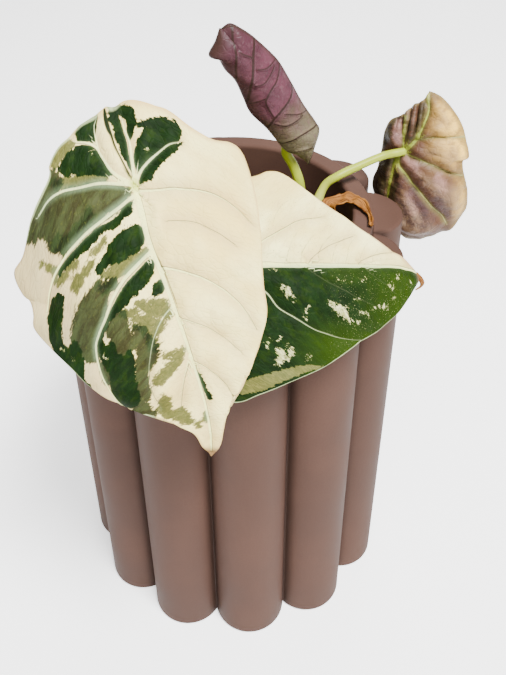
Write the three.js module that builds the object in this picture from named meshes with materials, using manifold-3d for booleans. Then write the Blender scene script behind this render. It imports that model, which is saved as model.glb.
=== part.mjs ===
// A black velvet alocasia with variegated leaves, potted in a ceramic planter of fused round columns.
// Millimetres, +Z up. The origin is the centre of the planter's base, and -Y is the front.
import * as THREE from 'three';
import { mergeVertices } from 'three/addons/utils/BufferGeometryUtils.js';
import Module from 'manifold-3d';

const wasm = await Module();
wasm.setup();

// Planter
const COLUMN_COUNT = 12;
const COLUMN_RADIUS = 13;
const COLUMN_RING_RADIUS = 46;
const COLUMN_HEIGHT = 150;
const COLUMN_EDGE = 0.7;
const COLUMN_SEGMENTS = 28;
const RING_TURN = THREE.MathUtils.degToRad(5.1);
const RIM_OUTER_RADIUS = 47.4;
const RIM_INNER_RADIUS = 40.5;
const RIM_HEIGHT = 156.5;
const RIM_EDGE = 1.1;
const RIM_EDGE_MIDDLE = 0.3 * RIM_EDGE;
const FLOOR_THICKNESS = 6;
const RIM_SEGMENTS = 64;
const WELL_CUTTER_EXCESS = 5;

// Soil and crown
const GAP = 0.3;
const SOIL_LEVEL = 143;
const LUMP_COUNT = 34;
const LUMP_SEED = 7;
const LUMP_RADIUS = { least: 3.5, spread: 4 };
const LUMP_HEIGHT = { least: 0.8, spread: 1.6 };
const SOIL_RINGS = 11;
const SOIL_SEGMENTS = 36;
const CROWN_CENTRE = new THREE.Vector2(24, 2);
const CROWN_RADIUS = 8.5;
const CROWN_FOOT = 129;
const CROWN_TOP = 151;
const CROWN_SEGMENTS = 20;
const HOLE_CUTTER_EXCESS = 20;
const CROWN_FOOT_EDGE = 1;
const CROWN_SHOULDER = [{ inset: 0.6, drop: 2 }, { inset: 2.6, drop: 0.6 }];
const SCAR_HEIGHTS = [141, 144, 147];
const SCAR = { width: 1.2, depth: 0.5, lip: 0.3 };
const SOCKET_FOOT = 142;

// Blades
const BLADE_THICKNESS = 1.0;
const SLAB_DEPTH = 6;
const ROLL_OPENING = THREE.MathUtils.degToRad(8);
const ROLL_FULL_HALF_WIDTH = 6;
const ROLL_LEAST_CORE = 0.35;
const RIGHT_RIPPLE_PHASE = 1.3;
const QUILT_FULL_REACH = 12;

// Each blade hangs on a spine, a cubic Bezier curve. A margin point is [along the spine, across it], on
// the blade laid flat. Seen from where the face direction points, with the blade's tip down, the left
// margin is the negative one.
const FRONT_LEAF = {
  spine: [[-33, -23.5, 205.5], [-19.5, -63, 177.5], [-4, -75, 150], [-6.5, -81.5, 130.5]],
  length: 100,
  face: [0, -0.72, 0.69],
  curl: 80,
  fold: [0, 0],
  left: [[0, 0], [1, -7], [4, -15], [9, -20.5], [15, -28], [24, -38], [36, -39.5], [47, -36],
    [60, -29.5], [73, -20.5], [86, -6], [93, -2.3], [100, 0]],
  right: [[0, 0], [-0.5, 6], [4, 15.5], [11, 23.5], [17, 31.5], [24, 32.5], [36, 30], [47, 25.5],
    [58, 22], [70, 14], [82, 5.5], [91, 1.8], [100, 0]],
  ripple: { height: 0.7, count: 7 },
  quilt: { height: 0.6, spacing: 17, slant: 0.35, start: 6 },
  rows: 30,
  columns: 16,
};

const SIDE_LEAF = {
  spine: [[-14.7, -47.8, 167.4], [11.9, -46.2, 168.5], [49.3, -43.2, 167.8], [56.2, -35.9, 152.8]],
  length: 76.5,
  face: [0, -0.545, 0.839],
  curl: 90,
  fold: [14, -4],
  left: [[0, 0], [-5, -10], [-5, -24], [3, -35], [12.1, -38.7], [18.8, -36.8], [27, -33.6],
    [36.4, -29.7], [47.8, -22.5], [55.6, -18.4], [63.5, -12.5], [70.6, -5], [76.5, 0]],
  right: [[0, 0], [-3, 8], [1, 20], [10, 27], [20.7, 27.8], [25, 29.1], [29.1, 27.9], [36.8, 18.9],
    [46, 11.2], [57.1, 4.9], [64.7, 2.4], [71.5, 1.3], [76.5, 0]],
  ripple: { height: 0.6, count: 5 },
  quilt: { height: 0.6, spacing: 15, slant: 0.3, start: 4 },
  rows: 26,
  columns: 16,
};

const SMALL_LEAF = {
  spine: [[67.2, 21.1, 186.6], [67.5, 10.6, 174], [65, 8.6, 156.2], [69.5, 11, 132.7]],
  length: 56.6,
  face: [-0.3, -0.85, 0.45],
  curl: 26,
  fold: [0, 0],
  left: [[0, 0], [3.3, -2], [5.4, -5.5], [9.1, -9.1], [11.8, -13.7], [17.9, -16.3], [24.9, -17.1],
    [33.9, -18.5], [40.2, -21], [44.1, -20.4], [50.7, -14.6], [56.1, -8.7], [57.9, -4], [57, 0]],
  right: [[0, 0], [2.6, 3.7], [7.1, 7.2], [11.8, 10], [17.3, 12.1], [25.4, 14.1], [27.7, 12.1],
    [36.6, 14.3], [41.8, 15.1], [46.9, 15.1], [51.2, 12.6], [54.5, 9.1], [55.6, 4.1], [57, 0]],
  ripple: { height: 0.6, count: 6 },
  pucker: { height: 1.5, count: 9, centre: [25.1, -8.3], reach: 9 },
  rows: 24,
  columns: 18,
};

const YOUNG_LEAF = {
  spine: [[26.6, 7.8, 167.3], [20.4, 6.9, 185.2], [8.4, 2.8, 203.8], [-0.8, 0, 217.8]],
  length: 58.2,
  face: [0, -0.85, 0.45],
  curl: 400,
  fold: [0, 0],
  left: [[0, -0.4], [5.4, -3.8], [10.4, -7.6], [13.5, -7.7], [21.2, -6.9], [29.7, -7.3], [37.5, -7.8],
    [42.6, -7.2], [49.8, -5.8], [57.6, -3.1], [58.8, -0.4]],
  right: [[0, 0.4], [6.5, 3.1], [10.4, 5.6], [20.7, 7.1], [28.9, 8.6], [34.9, 7.6], [41.4, 6.4],
    [46.7, 6.8], [50.8, 6.3], [54.5, 8.2], [59.4, 0.9]],
  depth: 4.6,
  rows: 20,
  columns: 20,
};

// Petioles and the dried sheath. Each petiole's path starts in its socket in the crown.
const FRONT_PETIOLE = {
  path: [[19.5, 1, SOCKET_FOOT], [17.5, 0.4, 150], [5, -3, 166], [-11, -12, 181], [-20.5, -27, 189.5],
    [-25.1, -40.8, 191.8]],
  radius: 2.0,
  sheathLength: 0.35,
};

const SIDE_PETIOLE = {
  path: [[23.5, -3.5, SOCKET_FOOT], [22.5, -6.5, 150], [17, -17, 158.5], [8, -32, 163.5],
    [-1.5, -46.9, 168.3]],
  radius: 1.9,
  sheathLength: 0.35,
};

const YOUNG_PETIOLE = {
  path: [[23, 6.5, SOCKET_FOOT], [23.8, 6.8, 152], [23.7, 6.3, 160], [21.4, 7.6, 167], [19, 7.4, 172],
    [19.5, 5.8, 178]],
  radius: 1.7,
  sheathLength: 0.4,
};

const SMALL_PETIOLE = {
  path: [[28.5, 4.2, SOCKET_FOOT], [29.2, 5, 151], [32.6, 8.4, 158.4], [36.5, 9, 161.2],
    [43.8, 12, 163.2], [52.6, 15, 165.3], [56.6, 15, 166.3], [59.9, 15.8, 166.4]],
  radius: 1.35,
  sheathLength: 0.3,
};

const SHEATH_SWELL = 0.5;
const SHEATH_POINTS = 6;
const SHEATH_STEPS = 7;
const PETIOLE_STEPS = 20;
const PETIOLE_SIDES = 10;

const DRIED_SHEATH = {
  path: [[32.5, -2.6, 148], [31.6, -1.4, 153], [33.6, 0.8, 156.3], [36.9, 0.7, 157.4], [40.4, -1.6, 157.6],
    [42.6, -4.6, 157.4], [44.4, -7.2, 157.2], [45.3, -11.1, 157.2], [44.8, -15.2, 157.2]],
  halfWidth: 2.2,
  thickness: 0.7,
  curlHeight: 0.7,
  leavesCrownTowards: [1, -0.5, 0],
  turnsUp: { from: 0.1, to: 0.35 },
  endWidth: 0.45,
  swell: { start: 0.12, end: 0.9 },
  rows: 22,
  columns: 4,
};

const MERGE_DISTANCE = 1e-4;
const NORMAL_STEP = 0.01;

const COLOURS = {
  ceramic: 0x9a7c72,
  soil: 0x3b2c22,
  crown: 0x8d8a55,
  petiole: 0x9fb653,
  frontBlade: 0xd9d2b4,
  sideBlade: 0x55803a,
  youngBlade: 0x7d5368,
  smallBlade: 0xa57f72,
  driedSheath: 0xa8703c,
};

const ROUGHNESS = {
  ceramic: 0.6,
  soil: 0.95,
  crown: 0.7,
  petiole: 0.5,
  blade: 0.55,
  youngBlade: 0.5,
  driedSheath: 0.8,
};

function vector(point) {
  return new THREE.Vector3(point[0], point[1], point[2]);
}

function positionsOnly(geometry) {
  const bare = geometry.clone();
  bare.deleteAttribute('normal');
  bare.deleteAttribute('uv');
  return mergeVertices(bare, MERGE_DISTANCE);
}

function solidOf(geometry) {
  const merged = positionsOnly(geometry);
  const mesh = new wasm.Mesh({
    numProp: 3,
    vertProperties: new Float32Array(merged.attributes.position.array),
    triVerts: new Uint32Array(merged.index.array),
  });
  return new wasm.Manifold(mesh);
}

function geometryOf(solid) {
  const mesh = solid.getMesh();
  const geometry = new THREE.BufferGeometry();
  geometry.setAttribute('position', new THREE.BufferAttribute(mesh.vertProperties, 3));
  geometry.setIndex(new THREE.BufferAttribute(mesh.triVerts, 1));
  return geometry;
}

function lathe(profile, segments) {
  const points = profile.map(([radius, height]) => new THREE.Vector2(radius, height));
  const geometry = new THREE.LatheGeometry(points, segments);
  geometry.rotateX(Math.PI / 2);
  return geometry;
}

// The planter's columns, rim and well are turned bodies.
function columnSolid(index) {
  const profile = [[0, 0], [COLUMN_RADIUS - COLUMN_EDGE, 0], [COLUMN_RADIUS, COLUMN_EDGE],
    [COLUMN_RADIUS, COLUMN_HEIGHT - COLUMN_EDGE], [COLUMN_RADIUS - COLUMN_EDGE, COLUMN_HEIGHT],
    [0, COLUMN_HEIGHT]];
  const angle = RING_TURN + index * 2 * Math.PI / COLUMN_COUNT;
  const geometry = lathe(profile, COLUMN_SEGMENTS);
  geometry.translate(COLUMN_RING_RADIUS * Math.sin(angle), -COLUMN_RING_RADIUS * Math.cos(angle), 0);
  return solidOf(geometry);
}

function rimSolid() {
  const profile = [[0, 0], [RIM_OUTER_RADIUS, 0], [RIM_OUTER_RADIUS, RIM_HEIGHT - RIM_EDGE],
    [RIM_OUTER_RADIUS - RIM_EDGE_MIDDLE, RIM_HEIGHT - RIM_EDGE_MIDDLE],
    [RIM_OUTER_RADIUS - RIM_EDGE, RIM_HEIGHT], [0, RIM_HEIGHT]];
  return solidOf(lathe(profile, RIM_SEGMENTS));
}

function wellSolid() {
  const above = RIM_HEIGHT + WELL_CUTTER_EXCESS;
  const profile = [[0, FLOOR_THICKNESS], [RIM_INNER_RADIUS, FLOOR_THICKNESS],
    [RIM_INNER_RADIUS, RIM_HEIGHT - RIM_EDGE],
    [RIM_INNER_RADIUS + RIM_EDGE_MIDDLE, RIM_HEIGHT - RIM_EDGE_MIDDLE],
    [RIM_INNER_RADIUS + RIM_EDGE, RIM_HEIGHT], [RIM_INNER_RADIUS + RIM_EDGE, above], [0, above]];
  return solidOf(lathe(profile, RIM_SEGMENTS));
}

function planterGeometry() {
  let body = rimSolid();
  for (let index = 0; index < COLUMN_COUNT; index += 1) {
    body = body.add(columnSolid(index));
  }
  return geometryOf(body.subtract(wellSolid()));
}

// Repeatable draws between 0 and 1: each state is the last one times a factor, modulo a large prime.
function randomDraws(seed) {
  const factor = 16807;
  const prime = 2147483647;
  let state = seed;
  return () => {
    state = (state * factor) % prime;
    return state / prime;
  };
}

function soilLumps() {
  const draw = randomDraws(LUMP_SEED);
  return Array.from({ length: LUMP_COUNT }, () => {
    const angle = draw() * 2 * Math.PI;
    const distance = RIM_INNER_RADIUS * Math.sqrt(draw());
    return {
      x: distance * Math.cos(angle),
      y: distance * Math.sin(angle),
      radius: LUMP_RADIUS.least + LUMP_RADIUS.spread * draw(),
      height: LUMP_HEIGHT.least + LUMP_HEIGHT.spread * draw(),
    };
  });
}

function soilHeight(lumps, x, y) {
  let height = SOIL_LEVEL;
  for (const lump of lumps) {
    const ratio = Math.hypot(x - lump.x, y - lump.y) / lump.radius;
    height += lump.height * Math.exp(-ratio * ratio);
  }
  return height;
}

// A disc with a lumpy top, drawn as rings round the well's axis, with a plain hole for the crown.
function soilGeometry() {
  const outer = RIM_INNER_RADIUS - GAP;
  const foot = FLOOR_THICKNESS + GAP;
  const halfway = (foot + SOIL_LEVEL) / 2;
  const lumps = soilLumps();
  const profile = [new THREE.Vector2(0, foot), new THREE.Vector2(outer, foot)];
  for (let ring = SOIL_RINGS; ring >= 0; ring -= 1) {
    profile.push(new THREE.Vector2(outer * ring / SOIL_RINGS, SOIL_LEVEL));
  }
  const geometry = new THREE.LatheGeometry(profile, SOIL_SEGMENTS);
  geometry.rotateX(Math.PI / 2);
  const position = geometry.attributes.position;
  for (let index = 0; index < position.count; index += 1) {
    if (position.getZ(index) > halfway) {
      position.setZ(index, soilHeight(lumps, position.getX(index), position.getY(index)));
    }
  }
  const holeRadius = CROWN_RADIUS + GAP;
  const holeFoot = CROWN_FOOT - GAP;
  const above = SOIL_LEVEL + HOLE_CUTTER_EXCESS;
  const holeProfile = [[0, holeFoot], [holeRadius, holeFoot], [holeRadius, above], [0, above]];
  const hole = lathe(holeProfile, CROWN_SEGMENTS);
  hole.translate(CROWN_CENTRE.x, CROWN_CENTRE.y, 0);
  return geometryOf(solidOf(geometry).subtract(solidOf(hole)));
}

// A round tube along a path, with its ends closed.
function tube(points, radius, steps) {
  const section = new THREE.Shape();
  for (let side = 0; side < PETIOLE_SIDES; side += 1) {
    const angle = 2 * Math.PI * side / PETIOLE_SIDES;
    const x = radius * Math.cos(angle);
    const y = radius * Math.sin(angle);
    if (side === 0) {
      section.moveTo(x, y);
    } else {
      section.lineTo(x, y);
    }
  }
  const path = new THREE.CatmullRomCurve3(points);
  return new THREE.ExtrudeGeometry(section, { steps, bevelEnabled: false, extrudePath: path });
}

// A petiole is a slim stalk fused to the thicker sheath round its lower end.
function petioleSolid(petiole, extra) {
  const points = petiole.path.map(vector);
  points[0].z -= extra;
  const radius = petiole.radius + extra;
  const whole = new THREE.CatmullRomCurve3(points);
  const sheathPoints = [];
  for (let step = 0; step <= SHEATH_POINTS; step += 1) {
    sheathPoints.push(whole.getPointAt(petiole.sheathLength * step / SHEATH_POINTS));
  }
  const stalk = solidOf(tube(points, radius, PETIOLE_STEPS));
  const sheath = solidOf(tube(sheathPoints, petiole.radius + SHEATH_SWELL + extra, SHEATH_STEPS));
  return stalk.add(sheath);
}

// The crown is a short stub with leaf scars, and has a socket for each petiole.
function crownGeometry(petioles) {
  const profile = [[0, CROWN_FOOT], [CROWN_RADIUS - CROWN_FOOT_EDGE, CROWN_FOOT],
    [CROWN_RADIUS, CROWN_FOOT + CROWN_FOOT_EDGE]];
  for (const height of SCAR_HEIGHTS) {
    profile.push([CROWN_RADIUS, height - SCAR.width], [CROWN_RADIUS - SCAR.depth, height - SCAR.lip],
      [CROWN_RADIUS, height]);
  }
  for (const { inset, drop } of CROWN_SHOULDER) {
    profile.push([CROWN_RADIUS - inset, CROWN_TOP - drop]);
  }
  profile.push([0, CROWN_TOP]);
  const geometry = lathe(profile, CROWN_SEGMENTS);
  geometry.translate(CROWN_CENTRE.x, CROWN_CENTRE.y, 0);
  let crown = solidOf(geometry);
  for (const petiole of petioles) {
    crown = crown.subtract(petioleSolid(petiole, GAP));
  }
  return geometryOf(crown);
}

function bezierPoint(spine, t) {
  const u = 1 - t;
  const weights = [u * u * u, 3 * u * u * t, 3 * u * t * t, t * t * t];
  const point = new THREE.Vector3();
  spine.forEach((knot, index) => point.addScaledVector(vector(knot), weights[index]));
  return point;
}

function bezierSlope(spine, t) {
  const u = 1 - t;
  const weights = [u * u, 2 * u * t, t * t];
  const slope = new THREE.Vector3();
  weights.forEach((weight, index) => {
    slope.addScaledVector(vector(spine[index + 1]).sub(vector(spine[index])), 3 * weight);
  });
  return slope;
}

// The directions along, across and out of the blade at a length along its spine.
function spineFrame(leaf, along) {
  const t = along / leaf.length;
  const tangent = bezierSlope(leaf.spine, t).normalize();
  const across = vector(leaf.face).cross(tangent).normalize();
  const out = tangent.clone().cross(across);
  return { origin: bezierPoint(leaf.spine, t), across, out };
}

// The flat position of a place on the blade: row runs 0 to 1 from base to tip, side -1 to 1 from the
// left margin to the right one.
function flatPlace(leaf, row, side) {
  const margin = side < 0 ? leaf.leftCurve : leaf.rightCurve;
  const edge = margin.getPoint(row);
  const middle = leaf.left[0][0] + (leaf.left[leaf.left.length - 1][0] - leaf.left[0][0]) * row;
  const reach = Math.abs(side);
  return { along: middle + (edge.x - middle) * reach, across: edge.y * reach };
}

// How far the blade rises above its bent sheet: ripples along the margin and swellings between veins.
function relief(leaf, row, side, along, across) {
  const { ripple, quilt, pucker } = leaf;
  let height = 0;
  if (ripple) {
    const phase = 2 * Math.PI * ripple.count * row + (side < 0 ? 0 : RIGHT_RIPPLE_PHASE);
    const fade = Math.sin(Math.PI * row);
    height += ripple.height * Math.abs(side) ** 3 * fade * Math.sin(phase);
  }
  if (quilt) {
    const place = (along - quilt.slant * Math.abs(across) - quilt.start) / quilt.spacing;
    const fade = Math.min(Math.abs(across) / QUILT_FULL_REACH, 1) * (1 - side * side);
    height += quilt.height * fade * (2 * Math.sin(Math.PI * place) ** 2 - 1);
  }
  if (pucker) {
    const [centreAlong, centreAcross] = pucker.centre;
    const x = along - centreAlong;
    const y = across - centreAcross;
    const fade = Math.min(Math.hypot(x, y) / pucker.reach, 1);
    height += pucker.height * fade * (2 * Math.abs(Math.sin(pucker.count * Math.atan2(y, x) / 2)) - 1);
  }
  return height;
}

// The bent sheet: each half of the blade is an arc of the curl radius, turned by its fold at the spine.
function sheetPoint(leaf, along, across, height) {
  const frame = spineFrame(leaf, along);
  const sign = across < 0 ? -1 : 1;
  const fold = THREE.MathUtils.degToRad(across < 0 ? leaf.fold[0] : leaf.fold[1]);
  const angle = Math.abs(across) / leaf.curl;
  const x = leaf.curl * Math.sin(angle);
  const y = height - leaf.curl * (1 - Math.cos(angle));
  return frame.origin
    .addScaledVector(frame.across, sign * (Math.cos(fold) * x + Math.sin(fold) * y))
    .addScaledVector(frame.out, -Math.sin(fold) * x + Math.cos(fold) * y);
}

function bladePoint(leaf, row, side) {
  const { along, across } = flatPlace(leaf, row, side);
  return sheetPoint(leaf, along, across, relief(leaf, row, side, along, across));
}

function bladeNormal(leaf, row, side) {
  const step = NORMAL_STEP;
  const safeRow = Math.min(Math.max(row, 2 * step), 1 - 2 * step);
  const safeSide = Math.min(Math.max(side, step - 1), 1 - step);
  const down = bladePoint(leaf, safeRow + step, safeSide).sub(bladePoint(leaf, safeRow - step, safeSide));
  const over = bladePoint(leaf, safeRow, safeSide + step).sub(bladePoint(leaf, safeRow, safeSide - step));
  return down.cross(over).normalize();
}

// A closed solid between two grids of points, with the same triangles on both and a strip round them.
function shell(outer, inner) {
  const positions = [];
  const index = [];
  const numbers = new Map();
  const numberOf = (point) => {
    const key = [point.x, point.y, point.z].map((value) => value.toFixed(4)).join();
    if (!numbers.has(key)) {
      numbers.set(key, positions.length / 3);
      positions.push(point.x, point.y, point.z);
    }
    return numbers.get(key);
  };
  const triangle = (a, b, c) => {
    const corners = [numberOf(a), numberOf(b), numberOf(c)];
    if (new Set(corners).size === 3) {
      index.push(...corners);
    }
  };
  const quad = (a, b, c, d) => {
    triangle(a, b, c);
    triangle(a, c, d);
  };
  const last = outer.length - 1;
  const end = outer[0].length - 1;
  const middle = outer[Math.round(last / 2)];
  const hasSeam = numberOf(middle[0]) !== numberOf(middle[end]);
  for (let i = 0; i < last; i += 1) {
    for (let j = 0; j < end; j += 1) {
      quad(outer[i][j], outer[i + 1][j], outer[i + 1][j + 1], outer[i][j + 1]);
      triangle(inner[i][j], inner[i + 1][j + 1], inner[i + 1][j]);
      triangle(inner[i][j], inner[i][j + 1], inner[i + 1][j + 1]);
    }
    if (hasSeam) {
      quad(outer[i][0], inner[i][0], inner[i + 1][0], outer[i + 1][0]);
      quad(outer[i][end], outer[i + 1][end], inner[i + 1][end], inner[i][end]);
    }
  }
  for (let j = 0; j < end; j += 1) {
    quad(outer[0][j], outer[0][j + 1], inner[0][j + 1], inner[0][j]);
    quad(outer[last][j], inner[last][j], inner[last][j + 1], outer[last][j + 1]);
  }
  const geometry = new THREE.BufferGeometry();
  geometry.setAttribute('position', new THREE.Float32BufferAttribute(positions, 3));
  geometry.setIndex(index);
  return geometry;
}

function withMargins(leaf) {
  const curve = (points) => new THREE.SplineCurve(points.map(([x, y]) => new THREE.Vector2(x, y)));
  return { ...leaf, leftCurve: curve(leaf.left), rightCurve: curve(leaf.right) };
}

// The blade between two heights above its middle surface.
function bladeSlab(source, low, high) {
  const leaf = withMargins(source);
  const top = [];
  const bottom = [];
  for (let i = 0; i <= leaf.rows; i += 1) {
    const topRow = [];
    const bottomRow = [];
    for (let j = 0; j <= leaf.columns; j += 1) {
      const row = i / leaf.rows;
      const side = 2 * j / leaf.columns - 1;
      const atTip = i === 0 || i === leaf.rows;
      const point = bladePoint(leaf, row, atTip ? 0 : side);
      const normal = bladeNormal(leaf, row, atTip ? 0 : side);
      topRow.push(point.clone().addScaledVector(normal, high));
      bottomRow.push(point.clone().addScaledVector(normal, low));
    }
    top.push(topRow);
    bottom.push(bottomRow);
  }
  return shell(top, bottom);
}

// A rolled blade: its flat outline is wound round its spine into a flattened tube.
function rollPoint(leaf, row, angle, scale) {
  const side = Math.cos(angle);
  const { along, across } = flatPlace(leaf, row, side);
  const depth = leaf.depth * Math.min(rollHalfWidth(leaf, row) / ROLL_FULL_HALF_WIDTH, 1);
  return sheetPoint(leaf, along, across * scale, depth * scale * Math.sin(angle));
}

function rollHalfWidth(leaf, row) {
  return (Math.abs(leaf.leftCurve.getPoint(row).y) + leaf.rightCurve.getPoint(row).y) / 2;
}

function rollShell(leaf, opening, outerScale, innerScale) {
  const outer = [];
  const inner = [];
  for (let i = 0; i <= leaf.rows; i += 1) {
    const row = i / leaf.rows;
    const half = rollHalfWidth(leaf, row);
    const outerRow = [];
    const innerRow = [];
    for (let j = 0; j <= leaf.columns; j += 1) {
      const angle = Math.PI - opening - (2 * Math.PI - 2 * opening) * j / leaf.columns;
      outerRow.push(rollPoint(leaf, row, angle, outerScale(half)));
      innerRow.push(rollPoint(leaf, row, angle, innerScale(half)));
    }
    outer.push(outerRow);
    inner.push(innerRow);
  }
  return shell(outer, inner);
}

// The rolled blade has an open seam along its right side.
function rolledBladeGeometry(source) {
  const wallScale = (half) => Math.max(1 - BLADE_THICKNESS / half, ROLL_LEAST_CORE);
  return rollShell(withMargins(source), ROLL_OPENING, () => 1, wallScale);
}

// A filled body a gap larger than the rolled blade, to end its petiole.
function rollBody(source) {
  return solidOf(rollShell(withMargins(source), 0, (half) => 1 + GAP / half, () => 0));
}

// A papery ribbon that leaves the crown's side, arches over the rim and lies on it.
function driedSheathGeometry() {
  const { path, halfWidth, thickness, curlHeight, turnsUp, endWidth, rows, columns } = DRIED_SHEATH;
  const { start, end } = DRIED_SHEATH.swell;
  const curve = new THREE.CatmullRomCurve3(path.map(vector));
  const up = new THREE.Vector3(0, 0, 1);
  const fromCrown = vector(DRIED_SHEATH.leavesCrownTowards).normalize();
  const top = [];
  const bottom = [];
  for (let i = 0; i <= rows; i += 1) {
    const t = i / rows;
    const tangent = curve.getTangentAt(t);
    const hint = fromCrown.clone().lerp(up, THREE.MathUtils.smoothstep(t, turnsUp.from, turnsUp.to));
    const width = tangent.clone().cross(hint).normalize();
    const out = width.clone().cross(tangent);
    const swell = Math.sin(Math.PI * Math.min(t + start, end));
    const taper = endWidth + (1 - endWidth) * swell;
    const topRow = [];
    const bottomRow = [];
    for (let j = 0; j <= columns; j += 1) {
      const side = 2 * j / columns - 1;
      const centre = curve.getPointAt(t)
        .addScaledVector(width, side * halfWidth * taper)
        .addScaledVector(out, curlHeight * side * side);
      topRow.push(centre.clone().addScaledVector(out, thickness / 2));
      bottomRow.push(centre.clone().addScaledVector(out, -thickness / 2));
    }
    top.push(topRow);
    bottom.push(bottomRow);
  }
  return shell(bottom, top);
}

function material(colour, roughness) {
  return new THREE.MeshStandardMaterial({ color: colour, roughness, metalness: 0 });
}

const part = new THREE.Group();

function addMesh(name, geometry, meshMaterial) {
  const mesh = new THREE.Mesh(positionsOnly(geometry), meshMaterial);
  mesh.name = name;
  part.add(mesh);
}

function addPetiole(name, petiole, cutter) {
  const cut = petioleSolid(petiole, 0).subtract(cutter);
  addMesh(name, geometryOf(cut), material(COLOURS.petiole, ROUGHNESS.petiole));
}

function addBlade(name, leaf, colour) {
  const half = BLADE_THICKNESS / 2;
  addMesh(name, bladeSlab(leaf, -half, half), material(colour, ROUGHNESS.blade));
}

function slabBehind(leaf) {
  return solidOf(bladeSlab(leaf, -BLADE_THICKNESS / 2 - GAP, SLAB_DEPTH));
}

function slabBefore(leaf) {
  return solidOf(bladeSlab(leaf, -SLAB_DEPTH, BLADE_THICKNESS / 2 + GAP));
}

const petioles = [FRONT_PETIOLE, SIDE_PETIOLE, YOUNG_PETIOLE, SMALL_PETIOLE];
addMesh('planter', planterGeometry(), material(COLOURS.ceramic, ROUGHNESS.ceramic));
addMesh('soil', soilGeometry(), material(COLOURS.soil, ROUGHNESS.soil));
addMesh('crown', crownGeometry(petioles), material(COLOURS.crown, ROUGHNESS.crown));
addPetiole('petiole_front', FRONT_PETIOLE, slabBehind(FRONT_LEAF));
addPetiole('petiole_side', SIDE_PETIOLE, slabBehind(SIDE_LEAF));
addPetiole('petiole_young', YOUNG_PETIOLE, rollBody(YOUNG_LEAF));
addPetiole('petiole_small', SMALL_PETIOLE, slabBefore(SMALL_LEAF));
addBlade('blade_front', FRONT_LEAF, COLOURS.frontBlade);
addBlade('blade_side', SIDE_LEAF, COLOURS.sideBlade);
addBlade('blade_small', SMALL_LEAF, COLOURS.smallBlade);
addMesh('blade_young', rolledBladeGeometry(YOUNG_LEAF), material(COLOURS.youngBlade, ROUGHNESS.youngBlade));
addMesh('dried_sheath', driedSheathGeometry(), material(COLOURS.driedSheath, ROUGHNESS.driedSheath));

export default part;
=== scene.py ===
import math

import bmesh
import bpy
import numpy as np
from bpy.props import FloatProperty, FloatVectorProperty, IntProperty, PointerProperty
from bpy.types import Operator, Panel, PropertyGroup
from mathutils import Matrix, Vector


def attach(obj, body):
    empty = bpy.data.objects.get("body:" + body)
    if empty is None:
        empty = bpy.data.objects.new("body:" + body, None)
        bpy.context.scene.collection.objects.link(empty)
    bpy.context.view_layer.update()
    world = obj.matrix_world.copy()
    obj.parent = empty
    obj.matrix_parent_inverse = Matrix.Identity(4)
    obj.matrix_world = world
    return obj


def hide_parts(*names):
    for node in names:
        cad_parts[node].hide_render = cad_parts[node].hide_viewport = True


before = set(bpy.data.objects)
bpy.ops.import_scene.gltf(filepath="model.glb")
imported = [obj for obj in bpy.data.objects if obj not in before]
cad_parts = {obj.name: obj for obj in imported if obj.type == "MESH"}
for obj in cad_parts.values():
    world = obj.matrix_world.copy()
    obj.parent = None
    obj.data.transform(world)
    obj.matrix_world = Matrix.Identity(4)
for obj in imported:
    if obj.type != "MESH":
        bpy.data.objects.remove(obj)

bl_info = {
    "name": "Potted Alocasia",
    "version": (1, 0, 0),
    "blender": (4, 5, 0),
    "location": "View3D > Sidebar > Alocasia",
    "description": "A variegated alocasia in a ceramic planter of fused round columns",
    "category": "Add Mesh",
}

# Shapes are worked out in millimetres and put into meshes in metres.
MM = 0.001

# Planter, soil and crown, in millimetres.
COLUMN_EDGE = 0.9
RIM_OUTER_RADIUS = 47.4
RIM_INNER_RADIUS = 40.5
RIM_HEIGHT = 156.5
RIM_EDGE = 1.4
FLOOR_THICKNESS = 6.0
GAP = 0.3
SOIL_LEVEL = 143.0
LUMP_COUNT = 34
LUMP_SEED = 7
CROWN_CENTRE = (24.0, 2.0)
CROWN_RADIUS = 8.5
CROWN_FOOT = 129.0
CROWN_TOP = 151.0
SOCKET_FOOT = 142.0

# Each blade hangs on a spine, a cubic Bezier curve. A margin point is (along the spine, across it), on
# the blade laid flat. Seen from where the face direction points, with the tip down, left is negative.
# Its joint is where the veins meet, and its glow how far the veins pale what lies beside them.
FRONT_LEAF = {
    "spine": [(-33, -23.5, 205.5), (-19.5, -63, 177.5), (-4, -75, 150), (-6.5, -81.5, 130.5)],
    "length": 100,
    "face": (0, -0.72, 0.69),
    "curl": 80,
    "fold": (0, 0),
    "left": [(0, 0), (0.5, -2), (1.1, -5), (2, -8.6), (3.4, -12), (4.8, -16.2), (7.2, -19.5),
             (9.8, -20.8),
             (15, -28.7), (21.8, -34.8), (24.7, -39.2), (29.6, -39.1), (32.2, -37.7), (35.6, -37.9),
             (39.2, -39.1), (46, -36.2), (53.5, -32.3), (60.4, -29.2), (68.3, -25), (76, -17.2), (86, -6),
             (95.4, -2.5), (100, 0)],
    "right": [(0, 0), (0.5, 2), (-0.1, 5), (0.5, 8.2), (2.2, 12.4), (4, 16), (8.8, 20.6), (12.2, 25.2),
              (14, 29.8), (17, 32.1), (22.6, 32.2), (29, 31.2), (36, 29.1), (43.4, 26.4), (50, 24.2),
              (57, 22.4), (64, 18.2), (73, 11.4), (82, 4.9), (95, 2.2), (100, 0)],
    "ripple": (0.7, 7),
    "quilt": (1.0, 17, 0.35, 6),
    "joint": (16.8, 0.9),
    "glow": 0.8,
    "rows": 230,
    "columns": 170,
}

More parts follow.
